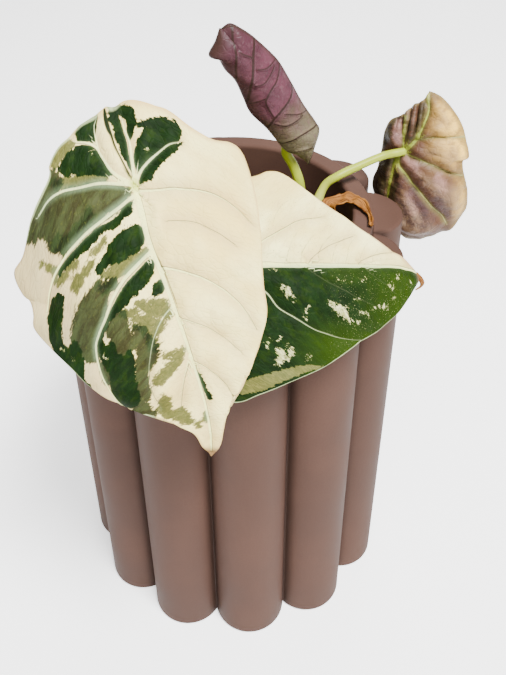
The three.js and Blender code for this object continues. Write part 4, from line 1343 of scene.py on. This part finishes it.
def planter_profile(height):
    """The planter's section as rows of (share of circle, circle radius, column inset, height), from the
    middle of the base, up the columns, over their tops and the rim, and down into the well."""
    edge, rim, top = COLUMN_EDGE, RIM_EDGE, RIM_HEIGHT
    outer, inner, floor = RIM_OUTER_RADIUS, RIM_INNER_RADIUS, FLOOR_THICKNESS
    clear = 0.2
    rows = [(1 - share, 0, edge, 0) for share in (0, 0.3, 0.7, 0.97, 1)]
    rows += [(0, 0, inset, rise) for rise, inset in rounding(edge, 6, 0.2)]
    rows += [(0, 0, 0, z) for z in np.linspace(edge + clear, height - edge - clear, 9)]
    rows += [(0, 0, inset, height - drop) for inset, drop in rounding(edge, 7)]
    rows += [(share, outer, edge, height) for share in (0.1, 0.4, 0.8, 0.96)]
    rows += [(1, outer + 0.3, 0, height + 0.05), (1, outer, 0, height + 0.35)]
    rows += [(1, outer, 0, z) for z in (height + 1, top - rim - clear)]
    rows += [(1, outer - inset, 0, top - drop) for inset, drop in rounding(rim, 8)]
    rows += [(1, inner + inset, 0, top - drop) for drop, inset in rounding(rim, 8)]
    rows += [(1, inner, 0, z) for z in (top - rim - 0.3, SOIL_LEVEL, floor + 0.5)]
    rows += [(1, radius, 0, floor) for radius in (inner - 0.5, 20, 0)]
    return np.array(rows, float)


def build_planter():
    """The planter as one surface: at each row of its profile the radius is a mix of the ring of columns'
    outline and a plain circle."""
    profile = planter_profile(sizes().column_height / MM)
    angle = around(PLANTER_SEGMENTS) + sizes().ring_turn
    share, circle, inset, z = (profile[:, k, None] for k in range(4))
    radius = (1 - share) * lobed_radius(angle[None, :], inset) + share * circle
    turn, step = column_turn(angle)
    # Painted shade in the creases: 0 on a column's face, rising to 1 at the crease, on the columns and base
    # only.
    crease_shade = smooth(np.abs(turn) / step * 2, 0.8, 1.0)[None, :] * (1 - share)
    piece = turned("ceramic_planter", ring_points((0, 0), radius, angle, z), ceramic_finish(colours()),
                   {"crease_shade": crease_shade})
    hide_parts("planter")


def drawn_lumps():
    """Four numbers from 0 to 1 for each lump, from the draw x -> factor x mod prime."""
    state = LUMP_SEED
    draws = []
    for _ in range(4 * LUMP_COUNT):
        state = (state * DRAW_FACTOR) % DRAW_PRIME
        draws.append(state / DRAW_PRIME)
    return np.reshape(draws, (LUMP_COUNT, 4))


def lump_height(x, y):
    """The soil's height: its level plus a bell-shaped lump at each drawn place."""
    height = np.full(np.shape(x), SOIL_LEVEL)
    for turn, reach, width, rise in drawn_lumps():
        distance = RIM_INNER_RADIUS * math.sqrt(reach)
        centre_x = distance * math.cos(2 * math.pi * turn)
        centre_y = distance * math.sin(2 * math.pi * turn)
        ratio = np.hypot(x - centre_x, y - centre_y) / (LUMP_RADIUS[0] + LUMP_RADIUS[1] * width)
        height = height + (LUMP_HEIGHT[0] + LUMP_HEIGHT[1] * rise) * np.exp(-ratio**2)
    return height


def build_soil():
    """The potting mix: rings that widen and slide from the crown's hole to the planter's wall, with the
    lumps and a fine crumb on top."""
    outer = RIM_INNER_RADIUS - GAP
    hole = CROWN_RADIUS + GAP
    foot = FLOOR_THICKNESS + GAP

    def ring(slide, radius, z):
        centre = [place * (1 - slide) for place in CROWN_CENTRE]
        return ring_points(centre, radius, around(SOIL_SEGMENTS), z)

    rings = [ring(0, radius, CROWN_FOOT - GAP) for radius in (0, hole * 0.6, hole)]
    for slide in np.linspace(0, 1, SOIL_RINGS):
        points = ring(slide, hole + (outer - hole) * slide, 0)
        x, y = points[:, 0], points[:, 1]
        crumb = 0.28 * waves(x, y, 3, 24, 1.2, 4.5) * smooth(slide, 0.02, 0.1) * smooth(slide, 1, 0.96)
        points[:, 2] = lump_height(x, y) + crumb
        rings.append(points)
    under = ((outer, SOIL_LEVEL - 6), (outer, foot), (outer * 0.5, foot), (0, foot))
    rings += [ring(1, radius, z) for radius, z in under]
    piece = turned("potting_mix", rings, soil_finish(colours()))
    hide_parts("soil")


def rounded_block():
    """Points and triangles of |x|^p + |y|^p + |z|^p = 1, with the chips' exponent as p."""
    ball = bmesh.new()
    bmesh.ops.create_icosphere(ball, subdivisions=2, radius=1)
    points = np.array([vertex.co[:] for vertex in ball.verts])
    faces = np.array([[corner.index for corner in face.verts] for face in ball.faces])
    ball.free()
    power = (np.abs(points) ** CHIP_EXPONENT).sum(axis=1, keepdims=True)
    return points / power ** (1 / CHIP_EXPONENT), faces


def build_chips():
    """Bark chips and pumice: each chip is a rounded block, stretched, turned and half sunk in the mix at
    a drawn place."""
    draw = np.random.default_rng(CHIP_SEED)
    count = sizes().chip_count
    base, faces = rounded_block()
    tone = draw.uniform(0, 1, count)
    size = draw.uniform(*CHIP_LENGTHS, count) * np.where(tone > PUMICE_TONE, PUMICE_SIZE, 1)
    stretch = [np.ones(count), draw.uniform(*CHIP_WIDTHS, count), draw.uniform(*CHIP_HEIGHTS, count)]
    stretch = np.stack(stretch, axis=-1)
    reach = np.sqrt(draw.uniform(0, 1, count)) * (RIM_INNER_RADIUS - WALL_MARGIN)
    turn = draw.uniform(0, 2 * math.pi, count)
    x, y = reach * np.cos(turn), reach * np.sin(turn)
    clear = np.hypot(x - CROWN_CENTRE[0], y - CROWN_CENTRE[1]) > CROWN_RADIUS + CROWN_MARGIN
    tone, size, stretch, x, y = (values[clear] for values in (tone, size, stretch, x, y))
    count = len(x)
    yaw = draw.uniform(0, 2 * math.pi, count)
    tilt = draw.normal(0, CHIP_TILT, count)
    roll = draw.normal(0, CHIP_TILT, count)
    jitter = 1 + CHIP_UNEVENNESS * draw.normal(0, 1, (count, len(base), 1))
    points = base[None] * jitter * stretch[:, None] * size[:, None, None]
    for angle, (a, b) in ((roll, (1, 2)), (tilt, (0, 2)), (yaw, (0, 1))):
        cosine, sine = np.cos(angle)[:, None], np.sin(angle)[:, None]
        first, second = points[..., a].copy(), points[..., b].copy()
        points[..., a] = cosine * first - sine * second
        points[..., b] = sine * first + cosine * second
    centre = np.stack([x, y, lump_height(x, y) + CHIP_LIFT * size], axis=-1)
    all_faces = faces[None] + (np.arange(count) * len(base))[:, None, None]
    make_piece("bark_chips", points + centre[:, None], all_faces.reshape(-1, 3), [chip_finish()],
               attributes={"tone": np.repeat(tone, len(base))})


def build_crown():
    """The crown: rings whose radius dips at each leaf scar and swells between them, and a rounded top."""
    body = CROWN_RADIUS - CROWN_INSET
    shoulder = CROWN_TOP - CROWN_SHOULDER
    z = np.concatenate([[CROWN_FOOT] * 2, np.linspace(CROWN_FOOT + 1, shoulder, CROWN_RINGS)])[:, None]
    angle = around(CROWN_SEGMENTS)
    from_scar = (z - SCARS_FROM - 2) % SCAR_SPACING - SCAR_SPACING / 2
    scar = SCAR_DEPTH * np.exp(-(from_scar / SCAR_WIDTH) ** 2) * (z > SCARS_FROM)
    radius = body - scar + 0.12 * waves(angle[None] * 4, z, 5, 8, 1.5, 4)
    radius[0] = 0
    turn = np.linspace(0.1, math.pi / 2, 9)[:, None]
    top_radius = body * np.cos(turn) ** 0.6
    top_radius[-1] = 0
    top = ring_points(CROWN_CENTRE, top_radius, angle, shoulder + CROWN_SHOULDER * np.sin(turn))
    rings = np.concatenate([ring_points(CROWN_CENTRE, radius, angle, z), top])
    piece = turned("crown_stub", rings, crown_finish())
    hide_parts("crown")


def build_petiole(node, petiole):
    """A stalk: a tube whose radius is the sheath's below, the stalk's above, and a little less near the
    blade."""
    path = route(petiole["path"], STALK_RINGS)
    t = np.linspace(0, 1, STALK_RINGS)
    base = petiole["radius"]
    radii = base + SHEATH_SWELL * smooth(t, petiole["sheath"] + 0.05, petiole["sheath"] - 0.12)
    radii = radii - NECK_THINNING * base * smooth(t, 0.5, 0.8)
    start, end = (np.repeat(point[None, None], STALK_SIDES, axis=1) for point in (path[0], path[-1]))
    rings = np.concatenate([start, tube_rings(path, radii, STALK_SIDES), end])
    rise = np.concatenate([[0], t, [1]])[:, None] + np.zeros(STALK_SIDES)
    name = node.replace("petiole", "stalk")
    piece = turned(name, rings, stalk_finish(colours()), {"rise": rise})
    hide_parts(node)


def blade_grid(leaf):
    """(row, side, along, across) arrays of a blade's fine grid, with finer steps near the margins."""
    row = np.linspace(ROW_END, 1 - ROW_END, leaf["rows"])
    side = np.sin(np.linspace(-1, 1, leaf["columns"]) * COLUMN_GATHER) / math.sin(COLUMN_GATHER)
    row, side = np.meshgrid(row, side, indexing="ij")
    along, across = flat_places(leaf, row, side)
    return row, side, along, across


def blade_thickness(edge):
    """Half thickness of a blade, rounded off towards its margin."""
    half = sizes().blade_thickness / MM / 2
    full = np.sqrt(np.clip(edge / MARGIN_ROUNDING, 0, 1))
    return half * (MARGIN_THICKNESS + (1 - MARGIN_THICKNESS) * full)


def vein_relief(distance, width):
    """A groove along each vein on the upper side, in the shape of a bell."""
    reach = GROOVE_REACH[0] + GROOVE_REACH[1] * width
    return -GROOVE_DEPTH * width * np.exp(-(np.maximum(distance, 0) / reach) ** 2)


def build_large_blade(name, node, leaf, veins, marks, tones):
    """A hanging variegated blade: the bent sheet with ripples, swellings and veins, and the fields that
    its finish reads. A cut takes its strokes out of the dark sectors."""
    row, side, along, across = blade_grid(leaf)
    vein = vein_fields(along, across, veins)
    distance = vein["vein_near"]
    edge = margin_distance(leaf, row, side)
    swell = SWELL_HEIGHT * (1 - np.exp(-np.maximum(distance, 0) / SWELL_REACH))
    uneven = UNEVENNESS * waves(along, across, 21, 14, 4, 11) * smooth(edge, 0, 3)
    height = blade_ripple(leaf, row, side) + blade_quilt(leaf, side, along, across)
    height = height + vein_relief(distance, vein["vein_width"]) + swell + uneven
    fields = mark_fields(along, across, marks)
    cut = fields.pop("cut")
    fields["dark"] = np.minimum(fields["dark"], -cut)
    fields["green"] = np.maximum(np.maximum(fields["dark"], fields["grey"]), fields["olive"])
    joint = leaf["joint"]
    attributes = {
        **fields,
        **vein,
        **tones(along, across),
        "joint": smooth(np.hypot(along - joint[0], across - joint[1]), 2.2, 0.3) * 0.8,
        "edge": edge,
        "tip": smooth(along, leaf["length"] - 6, leaf["length"] - 2),
    }
    slant = 0.25 * np.abs(across) + 0.012 * across**2
    materials = [variegated_finish(name + " upper side", colours(), leaf["glow"]),
                 variegated_finish(name + " underside", colours(), leaf["glow"], underside=True)]
    piece = thick_sheet(name, sheet_points(leaf, along, across, height), blade_thickness(edge), materials,
                        np.stack([along - slant, across], axis=-1), attributes)
    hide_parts(node)


def front_tones(along, across):
    """Tones of the front blade: its cream is warmer between its right veins, and painted shade darkens it
    towards the left margin."""
    between = smooth(across, 8, 16) * smooth(across, 31, 24)
    upper = between * smooth(along, 20, 29) * smooth(along, 46, 37)
    near_midrib = 0.6 * smooth(across, 2, 5) * smooth(across, 15, 9)
    near_midrib = near_midrib * smooth(along, 19, 25) * smooth(along, 38, 31)
    return {
        "light": 0 * along,
        "warmth": 0.4 + 0.5 * np.maximum(upper, near_midrib),
        # Painted shade: the cream darkens towards the left margin.
        "painted_shade": 0.8 * smooth(-across, 12, 30),
        "dusted": 0 * along,
    }


def side_tones(along, across):
    """Tones of the side blade: its green turns yellower below the lateral vein and towards the tip, its
    cream is warmer in the lobe, and pale dust lies beside the midrib near the tip."""
    below_vein = 0.6 * smooth(-across, 13, 23) * smooth(along, 24, 42)
    towards_tip = 0.55 * smooth(along, 40, 62) * smooth(-across, 0, 3)
    beside_midrib = 0.3 * smooth(along, 32, 42) * smooth(-across, 9, 4)
    return {
        "light": np.maximum(np.maximum(below_vein, towards_tip), beside_midrib),
        "warmth": 0.5 * smooth(across, 17, 28),
        "painted_shade": 0 * along,
        "dusted": 0.8 * smooth(along, 34, 44) * smooth(-across, 1.5, 4),
    }


def wider(strokes, extra):
    """The strokes, each wider by extra on both sides."""
    return [[(a, b, r + extra) for a, b, r in stroke] for stroke in strokes]


def front_marks():
    """Strokes of each kind of marking on the front blade."""
    return {
        "dark": FRONT_DARK,
        "grey": wider(FRONT_GREY, 0.65),
        "olive": wider(FRONT_OLIVE, 0.35),
        "pale": FRONT_FLECKS,
        "cut": [],
        "hair": FRONT_HAIR,
    }


def side_marks():
    """Strokes of each kind of marking on the side blade."""
    return {
        "dark": SIDE_GREEN,
        "grey": [],
        "olive": wider(SIDE_PATCH, 1.2),
        "pale": SIDE_FLECKS,
        "cut": SIDE_PATCH,
        "hair": wider(SIDE_HAIR, 0.06),
    }


def build_small_blade():
    """The small blade seen from below: the bent sheet, blown up between its veins like a cushion, so that
    its height grows with the square root of the distance from the nearest vein."""
    leaf = SMALL_LEAF
    row, side, along, across = blade_grid(leaf)
    vein = vein_fields(along, across, SMALL_VEINS)
    distance = vein["vein_near"]
    edge = margin_distance(leaf, row, side)
    swell = np.sqrt(np.clip(distance / leaf["pillow_reach"], 0, 1)) * smooth(edge, -0.5, 5)
    pillow = leaf["pillow_height"] * swell - leaf["vein_drop"]
    rib = leaf["rib_height"] * smooth(distance, 0.5, -0.4)
    crumple = 0.35 * waves(along, across, 9, 12, 5, 12) + 0.12 * waves(along, across, 4, 14, 2, 5)
    pleated = smooth(along, 20, 13) * smooth(across, -1.5, -4) * smooth(across, -12, -9)
    pleats = 1.2 * np.sin(across * 2.6 + 0.25 * along) * pleated
    height = blade_ripple(leaf, row, side) + pillow + rib + crumple + pleats
    khaki = smooth(across, -3, 10) * smooth(along, 36, 14) + 0.6 * smooth(across, 8, 14)
    marks = {"purple": SMALL_PURPLE, "shade": SMALL_SHADE, "blush": SMALL_BLUSH}
    attributes = {
        **mark_fields(along, across, marks),
        **vein,
        "khaki": np.clip(khaki, 0, 1),
        # swell also places the finish's painted highlights on the swellings and painted shade beside the
        # veins.
        "swell": swell,
        "edge": edge,
    }
    materials = [bronze_finish(colours(), "small blade underside"),
                 bronze_finish(colours(), "small blade upper side", inner=True)]
    piece = thick_sheet("leaf_small", sheet_points(leaf, along, across, height), blade_thickness(edge),
                        materials, np.stack([along, across], axis=-1), attributes)
    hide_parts("blade_small")


def build_young_blade():
    """The rolled blade: its flat outline is wound round the spine, across = half width cos(angle) and
    depth = d sin(angle), from the seam on the right round to the seam, where the front layer laps over
    the back one."""
    leaf = YOUNG_LEAF
    seam = math.radians(leaf["seam"])
    row = np.linspace(0.003, 0.997, leaf["rows"])
    turn = np.linspace(0, 1, leaf["columns"])
    row, turn = np.meshgrid(row, turn, indexing="ij")
    angle = math.pi - seam - (2 * math.pi - 2 * seam) * turn
    side = np.cos(angle)
    along, across = flat_places(leaf, row, side)
    left, right = margins(leaf, row)
    half = (np.abs(left[..., 1]) + right[..., 1]) / 2
    vein = vein_fields(along, across, YOUNG_VEINS)
    front = np.sin(angle) > 0
    depth = leaf["depth"] * np.minimum(half / leaf["full_half_width"], 1)
    inward = 1 - leaf["inset"] / np.maximum(half, 2 * leaf["inset"])
    lap = leaf["lap"] * smooth(turn, 0.06, 0.0)
    rib = leaf["rib_height"] * smooth(vein["vein_near"], 0.8, -0.1) * front
    relief = (rib + 0.16 * waves(along, across, 12, 12, 4, 10)) * np.minimum(half / 5, 1)
    middle = sheet_points(leaf, along, across * inward, (depth * inward + relief) * np.sin(angle) + lap)
    beside_seam = smooth(-side * front, 0.82, 1.0) * 0.75
    right_shade = smooth(side, 0.35, 0.95) * 0.7 * smooth(along, 16, 28)
    shade = beside_seam + right_shade + (~front) * 0.25 + 0.35 * smooth(along, 50, 58)
    attributes = {
        **vein,
        "rise": along / leaf["length"],
        "front": front,
        "shade": np.clip(shade, 0, 1),
    }
    back_place = 40
    flat = np.stack([along, across + np.where(front, 0, back_place)], axis=-1)
    materials = [purple_finish(colours(), "young blade outside"),
                 purple_finish(colours(), "young blade inside", inner=True)]
    half_thickness = leaf["half_thickness"] * np.minimum(half / 3, 1)
    piece = thick_sheet("leaf_young", middle, half_thickness, materials, flat, attributes)
    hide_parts("blade_young")


def ribbon(path, hint, reach, lift):
    """Middle points of a ribbon along its path: across the path and the hint by the reach, and off the
    ribbon's flat by the lift."""
    tangent = unit(np.gradient(path, axis=0))
    width = unit(np.cross(tangent, hint))
    out = np.cross(width, tangent)
    return path[:, None] + width[:, None] * reach[..., None] + out[:, None] * lift[..., None]


def build_dried_sheath():
    """A papery ribbon along its path: across it the edges curl up with the square of the place, and
    drawn waves crumple it."""
    count, columns = SHEATH_GRID
    t, side = np.meshgrid(np.linspace(0, 1, count), np.linspace(-1, 1, columns), indexing="ij")
    from_crown = unit(np.array([1.0, -0.5, 0.0]))
    share = smooth(t[:, :1], 0.1, 0.35)
    hint = from_crown * (1 - share) + np.array([0.0, 0.0, 1.0]) * share
    taper = 0.2 + 0.8 * smooth(t, 0.02, 0.22) * smooth(t, 0.86, 0.5)
    torn = 1 + 0.12 * waves(t * 60, side, 8, 8, 3, 9) * np.abs(side)
    crumple = 0.3 * waves(t * 45, side * 2.5, 6, 12, 2, 7)
    reach = side * DRIED_SHEATH["half_width"] * torn * taper
    lift = DRIED_SHEATH["curl_height"] * side**2 + crumple + 0.15
    middle = ribbon(route(DRIED_SHEATH["path"], count), hint, reach, lift)
    flat = np.stack([t * 40, side * 3], axis=-1)
    piece = thick_sheet("papery_sheath", middle[:, ::-1], DRIED_SHEATH["half_thickness"],
                        [dried_finish()] * 2, flat[:, ::-1], {})
    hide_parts("dried_sheath")


def build_curled_tip():
    """The dry curled tip of the side blade: a narrow ribbon along a short path, whose width falls
    evenly, nearly to a point."""
    count, columns = TIP_GRID
    t, side = np.meshgrid(np.linspace(0, 1, count), np.linspace(-1, 1, columns), indexing="ij")
    half_width = CURLED_TIP["half_width"] - CURLED_TIP["taper"] * t
    cup = 0.5 * half_width * side**2
    middle = ribbon(route(CURLED_TIP["path"], count), (0.0, 1.0, 0.35), side * half_width, cup)
    thick_sheet("leaf_side_tip", middle, CURLED_TIP["half_thickness"], [dried_finish()] * 2,
                np.stack([t * 10, side], axis=-1), {})


# Stage, in metres. The camera's rows are its right, up and forward directions.
CAMERA_PLACE = (0.0, -0.229446, 0.310819)
CAMERA_RIGHT = (0.99965, -0.02263, -0.01341)
CAMERA_UP = (0.02397, 0.57337, 0.81894)
CAMERA_FORWARD = (0.01085, 0.81898, -0.57372)
CAMERA_LENS = 44.557
CAMERA_SENSOR = 36.0
CAMERA_SHIFT = (0.0209, -0.1721)
CAMERA_NEAR = 0.01

# Square soft lights: name, place, target, side and power.
LIGHTS = (
    ("key", (0.3, -0.5, 1.3), (0, 0, 0.1), 0.4, 62),
    ("fill", (-0.2, -1.1, 0.8), (0, 0, 0.12), 0.8, 6),
    ("back", (0.2, 0.8, 0.9), (0, 0, 0.12), 0.6, 7),
)
SURROUND_STRENGTH = 0.3
FLOOR_RADIUS = 3
FLOOR_SIDES = 96
FLOOR_DROP = 0.0002


def add_camera():
    """The camera at the photo's angle."""
    data = bpy.data.cameras.new("camera")
    data.sensor_fit = "VERTICAL"
    data.sensor_height = CAMERA_SENSOR
    data.sensor_width = CAMERA_SENSOR
    data.lens = CAMERA_LENS
    data.shift_x, data.shift_y = CAMERA_SHIFT
    data.clip_start = CAMERA_NEAR
    camera = bpy.data.objects.new("camera", data)
    axes = [CAMERA_RIGHT, CAMERA_UP, [-value for value in CAMERA_FORWARD]]
    camera.matrix_world = Matrix.Translation(Vector(CAMERA_PLACE)) @ Matrix(axes).transposed().to_4x4()
    bpy.context.scene.collection.objects.link(camera)
    bpy.context.scene.camera = camera


def add_light(name, place, target, size, power):
    """A square soft light that points at a target."""
    data = bpy.data.lights.new(name, "AREA")
    data.shape = "SQUARE"
    data.size = size
    data.energy = power
    light = bpy.data.objects.new(name, data)
    light.location = place
    light.rotation_mode = "QUATERNION"
    light.rotation_quaternion = (Vector(target) - Vector(place)).to_track_quat("-Z", "Y")
    bpy.context.scene.collection.objects.link(light)


def add_surround():
    """A plain white surround."""
    world = bpy.data.worlds.new("surround")
    world.use_nodes = True
    background = world.node_tree.nodes["Background"]
    background.inputs["Color"].default_value = (1, 1, 1, 1)
    background.inputs["Strength"].default_value = SURROUND_STRENGTH
    bpy.context.scene.world = world


def floor_finish():
    """Plain pale floor."""
    return Finish("floor", 0.9).surface({
        "Base Color": (0.92, 0.92, 0.92),
        "Specular IOR Level": 0.1,
        "Emission Color": (1, 1, 1),
        "Emission Strength": 1.2,
    })


def build_stage():
    """A round pale floor, the soft lights, the surround and the camera."""
    angle = around(FLOOR_SIDES)
    points = [(FLOOR_RADIUS * math.cos(a), FLOOR_RADIUS * math.sin(a), -FLOOR_DROP) for a in angle]
    mesh = bpy.data.meshes.new("floor")
    mesh.from_pydata(points, [], [tuple(range(FLOOR_SIDES))])
    mesh.materials.append(floor_finish())
    floor = bpy.data.objects.new("floor", mesh)
    bpy.context.scene.collection.objects.link(floor)
    for light in LIGHTS:
        add_light(*light)
    add_surround()
    add_camera()


class ALOCASIA_OT_stage(Operator):
    """Adds the floor, the lights, the surround and the camera."""

    bl_idname = "alocasia.stage"
    bl_label = "Add Stage"

    def execute(self, context):
        build_stage()
        return {"FINISHED"}


class ALOCASIA_OT_planter(Operator):
    """Adds the ceramic planter."""

    bl_idname = "alocasia.planter"
    bl_label = "Add Planter"

    def execute(self, context):
        build_planter()
        return {"FINISHED"}


class ALOCASIA_OT_soil(Operator):
    """Adds the potting mix with its bark chips."""

    bl_idname = "alocasia.soil"
    bl_label = "Add Soil"

    def execute(self, context):
        build_soil()
        build_chips()
        return {"FINISHED"}


class ALOCASIA_OT_stalks(Operator):
    """Adds the crown and the petioles."""

    bl_idname = "alocasia.stalks"
    bl_label = "Add Crown and Stalks"

    def execute(self, context):
        build_crown()
        for node, petiole in PETIOLES.items():
            build_petiole(node, petiole)
        return {"FINISHED"}


class ALOCASIA_OT_large_blades(Operator):
    """Adds the two large variegated blades and the dry tip of one."""

    bl_idname = "alocasia.large_blades"
    bl_label = "Add Large Blades"

    def execute(self, context):
        build_large_blade("leaf_front", "blade_front", FRONT_LEAF, FRONT_VEINS, front_marks(),
                          front_tones)
        build_large_blade("leaf_side", "blade_side", SIDE_LEAF, SIDE_VEINS, side_marks(), side_tones)
        build_curled_tip()
        return {"FINISHED"}


class ALOCASIA_OT_small_blade(Operator):
    """Adds the small puckered blade."""

    bl_idname = "alocasia.small_blade"
    bl_label = "Add Small Blade"

    def execute(self, context):
        build_small_blade()
        return {"FINISHED"}


class ALOCASIA_OT_young_blade(Operator):
    """Adds the rolled young blade."""

    bl_idname = "alocasia.young_blade"
    bl_label = "Add Young Blade"

    def execute(self, context):
        build_young_blade()
        return {"FINISHED"}


class ALOCASIA_OT_dried_sheath(Operator):
    """Adds the dried papery sheath."""

    bl_idname = "alocasia.dried_sheath"
    bl_label = "Add Dried Sheath"

    def execute(self, context):
        build_dried_sheath()
        return {"FINISHED"}


class ALOCASIA_PT_panel(Panel):
    """Lists the pieces, sizes and colours."""

    bl_idname = "ALOCASIA_PT_panel"
    bl_label = "Potted Alocasia"
    bl_space_type = "VIEW_3D"
    bl_region_type = "UI"
    bl_category = "Alocasia"

    def draw(self, context):
        layout = self.layout
        for operator in OPERATORS:
            layout.operator(operator.bl_idname)
        for group in (context.scene.alocasia_sizes, context.scene.alocasia_colours):
            box = layout.box()
            for name in group.__annotations__:
                box.prop(group, name)


OPERATORS = (
    ALOCASIA_OT_stage,
    ALOCASIA_OT_planter,
    ALOCASIA_OT_soil,
    ALOCASIA_OT_stalks,
    ALOCASIA_OT_large_blades,
    ALOCASIA_OT_small_blade,
    ALOCASIA_OT_young_blade,
    ALOCASIA_OT_dried_sheath,
)
CLASSES = (AlocasiaSizes, AlocasiaColours, *OPERATORS, ALOCASIA_PT_panel)


def register():
    """Registers the classes and their properties."""
    for cls in CLASSES:
        bpy.utils.register_class(cls)
    bpy.types.Scene.alocasia_sizes = PointerProperty(type=AlocasiaSizes)
    bpy.types.Scene.alocasia_colours = PointerProperty(type=AlocasiaColours)


def unregister():
    """Removes the properties and the classes."""
    del bpy.types.Scene.alocasia_colours
    del bpy.types.Scene.alocasia_sizes
    for cls in reversed(CLASSES):
        bpy.utils.unregister_class(cls)


def main():
    """Makes every piece in order."""
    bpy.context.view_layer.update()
    register()
    bpy.ops.alocasia.stage()
    bpy.ops.alocasia.planter()
    bpy.ops.alocasia.soil()
    bpy.ops.alocasia.stalks()
    bpy.ops.alocasia.large_blades()
    bpy.ops.alocasia.small_blade()
    bpy.ops.alocasia.young_blade()
    bpy.ops.alocasia.dried_sheath()
    bpy.context.view_layer.update()


if __name__ == "__main__":
    main()
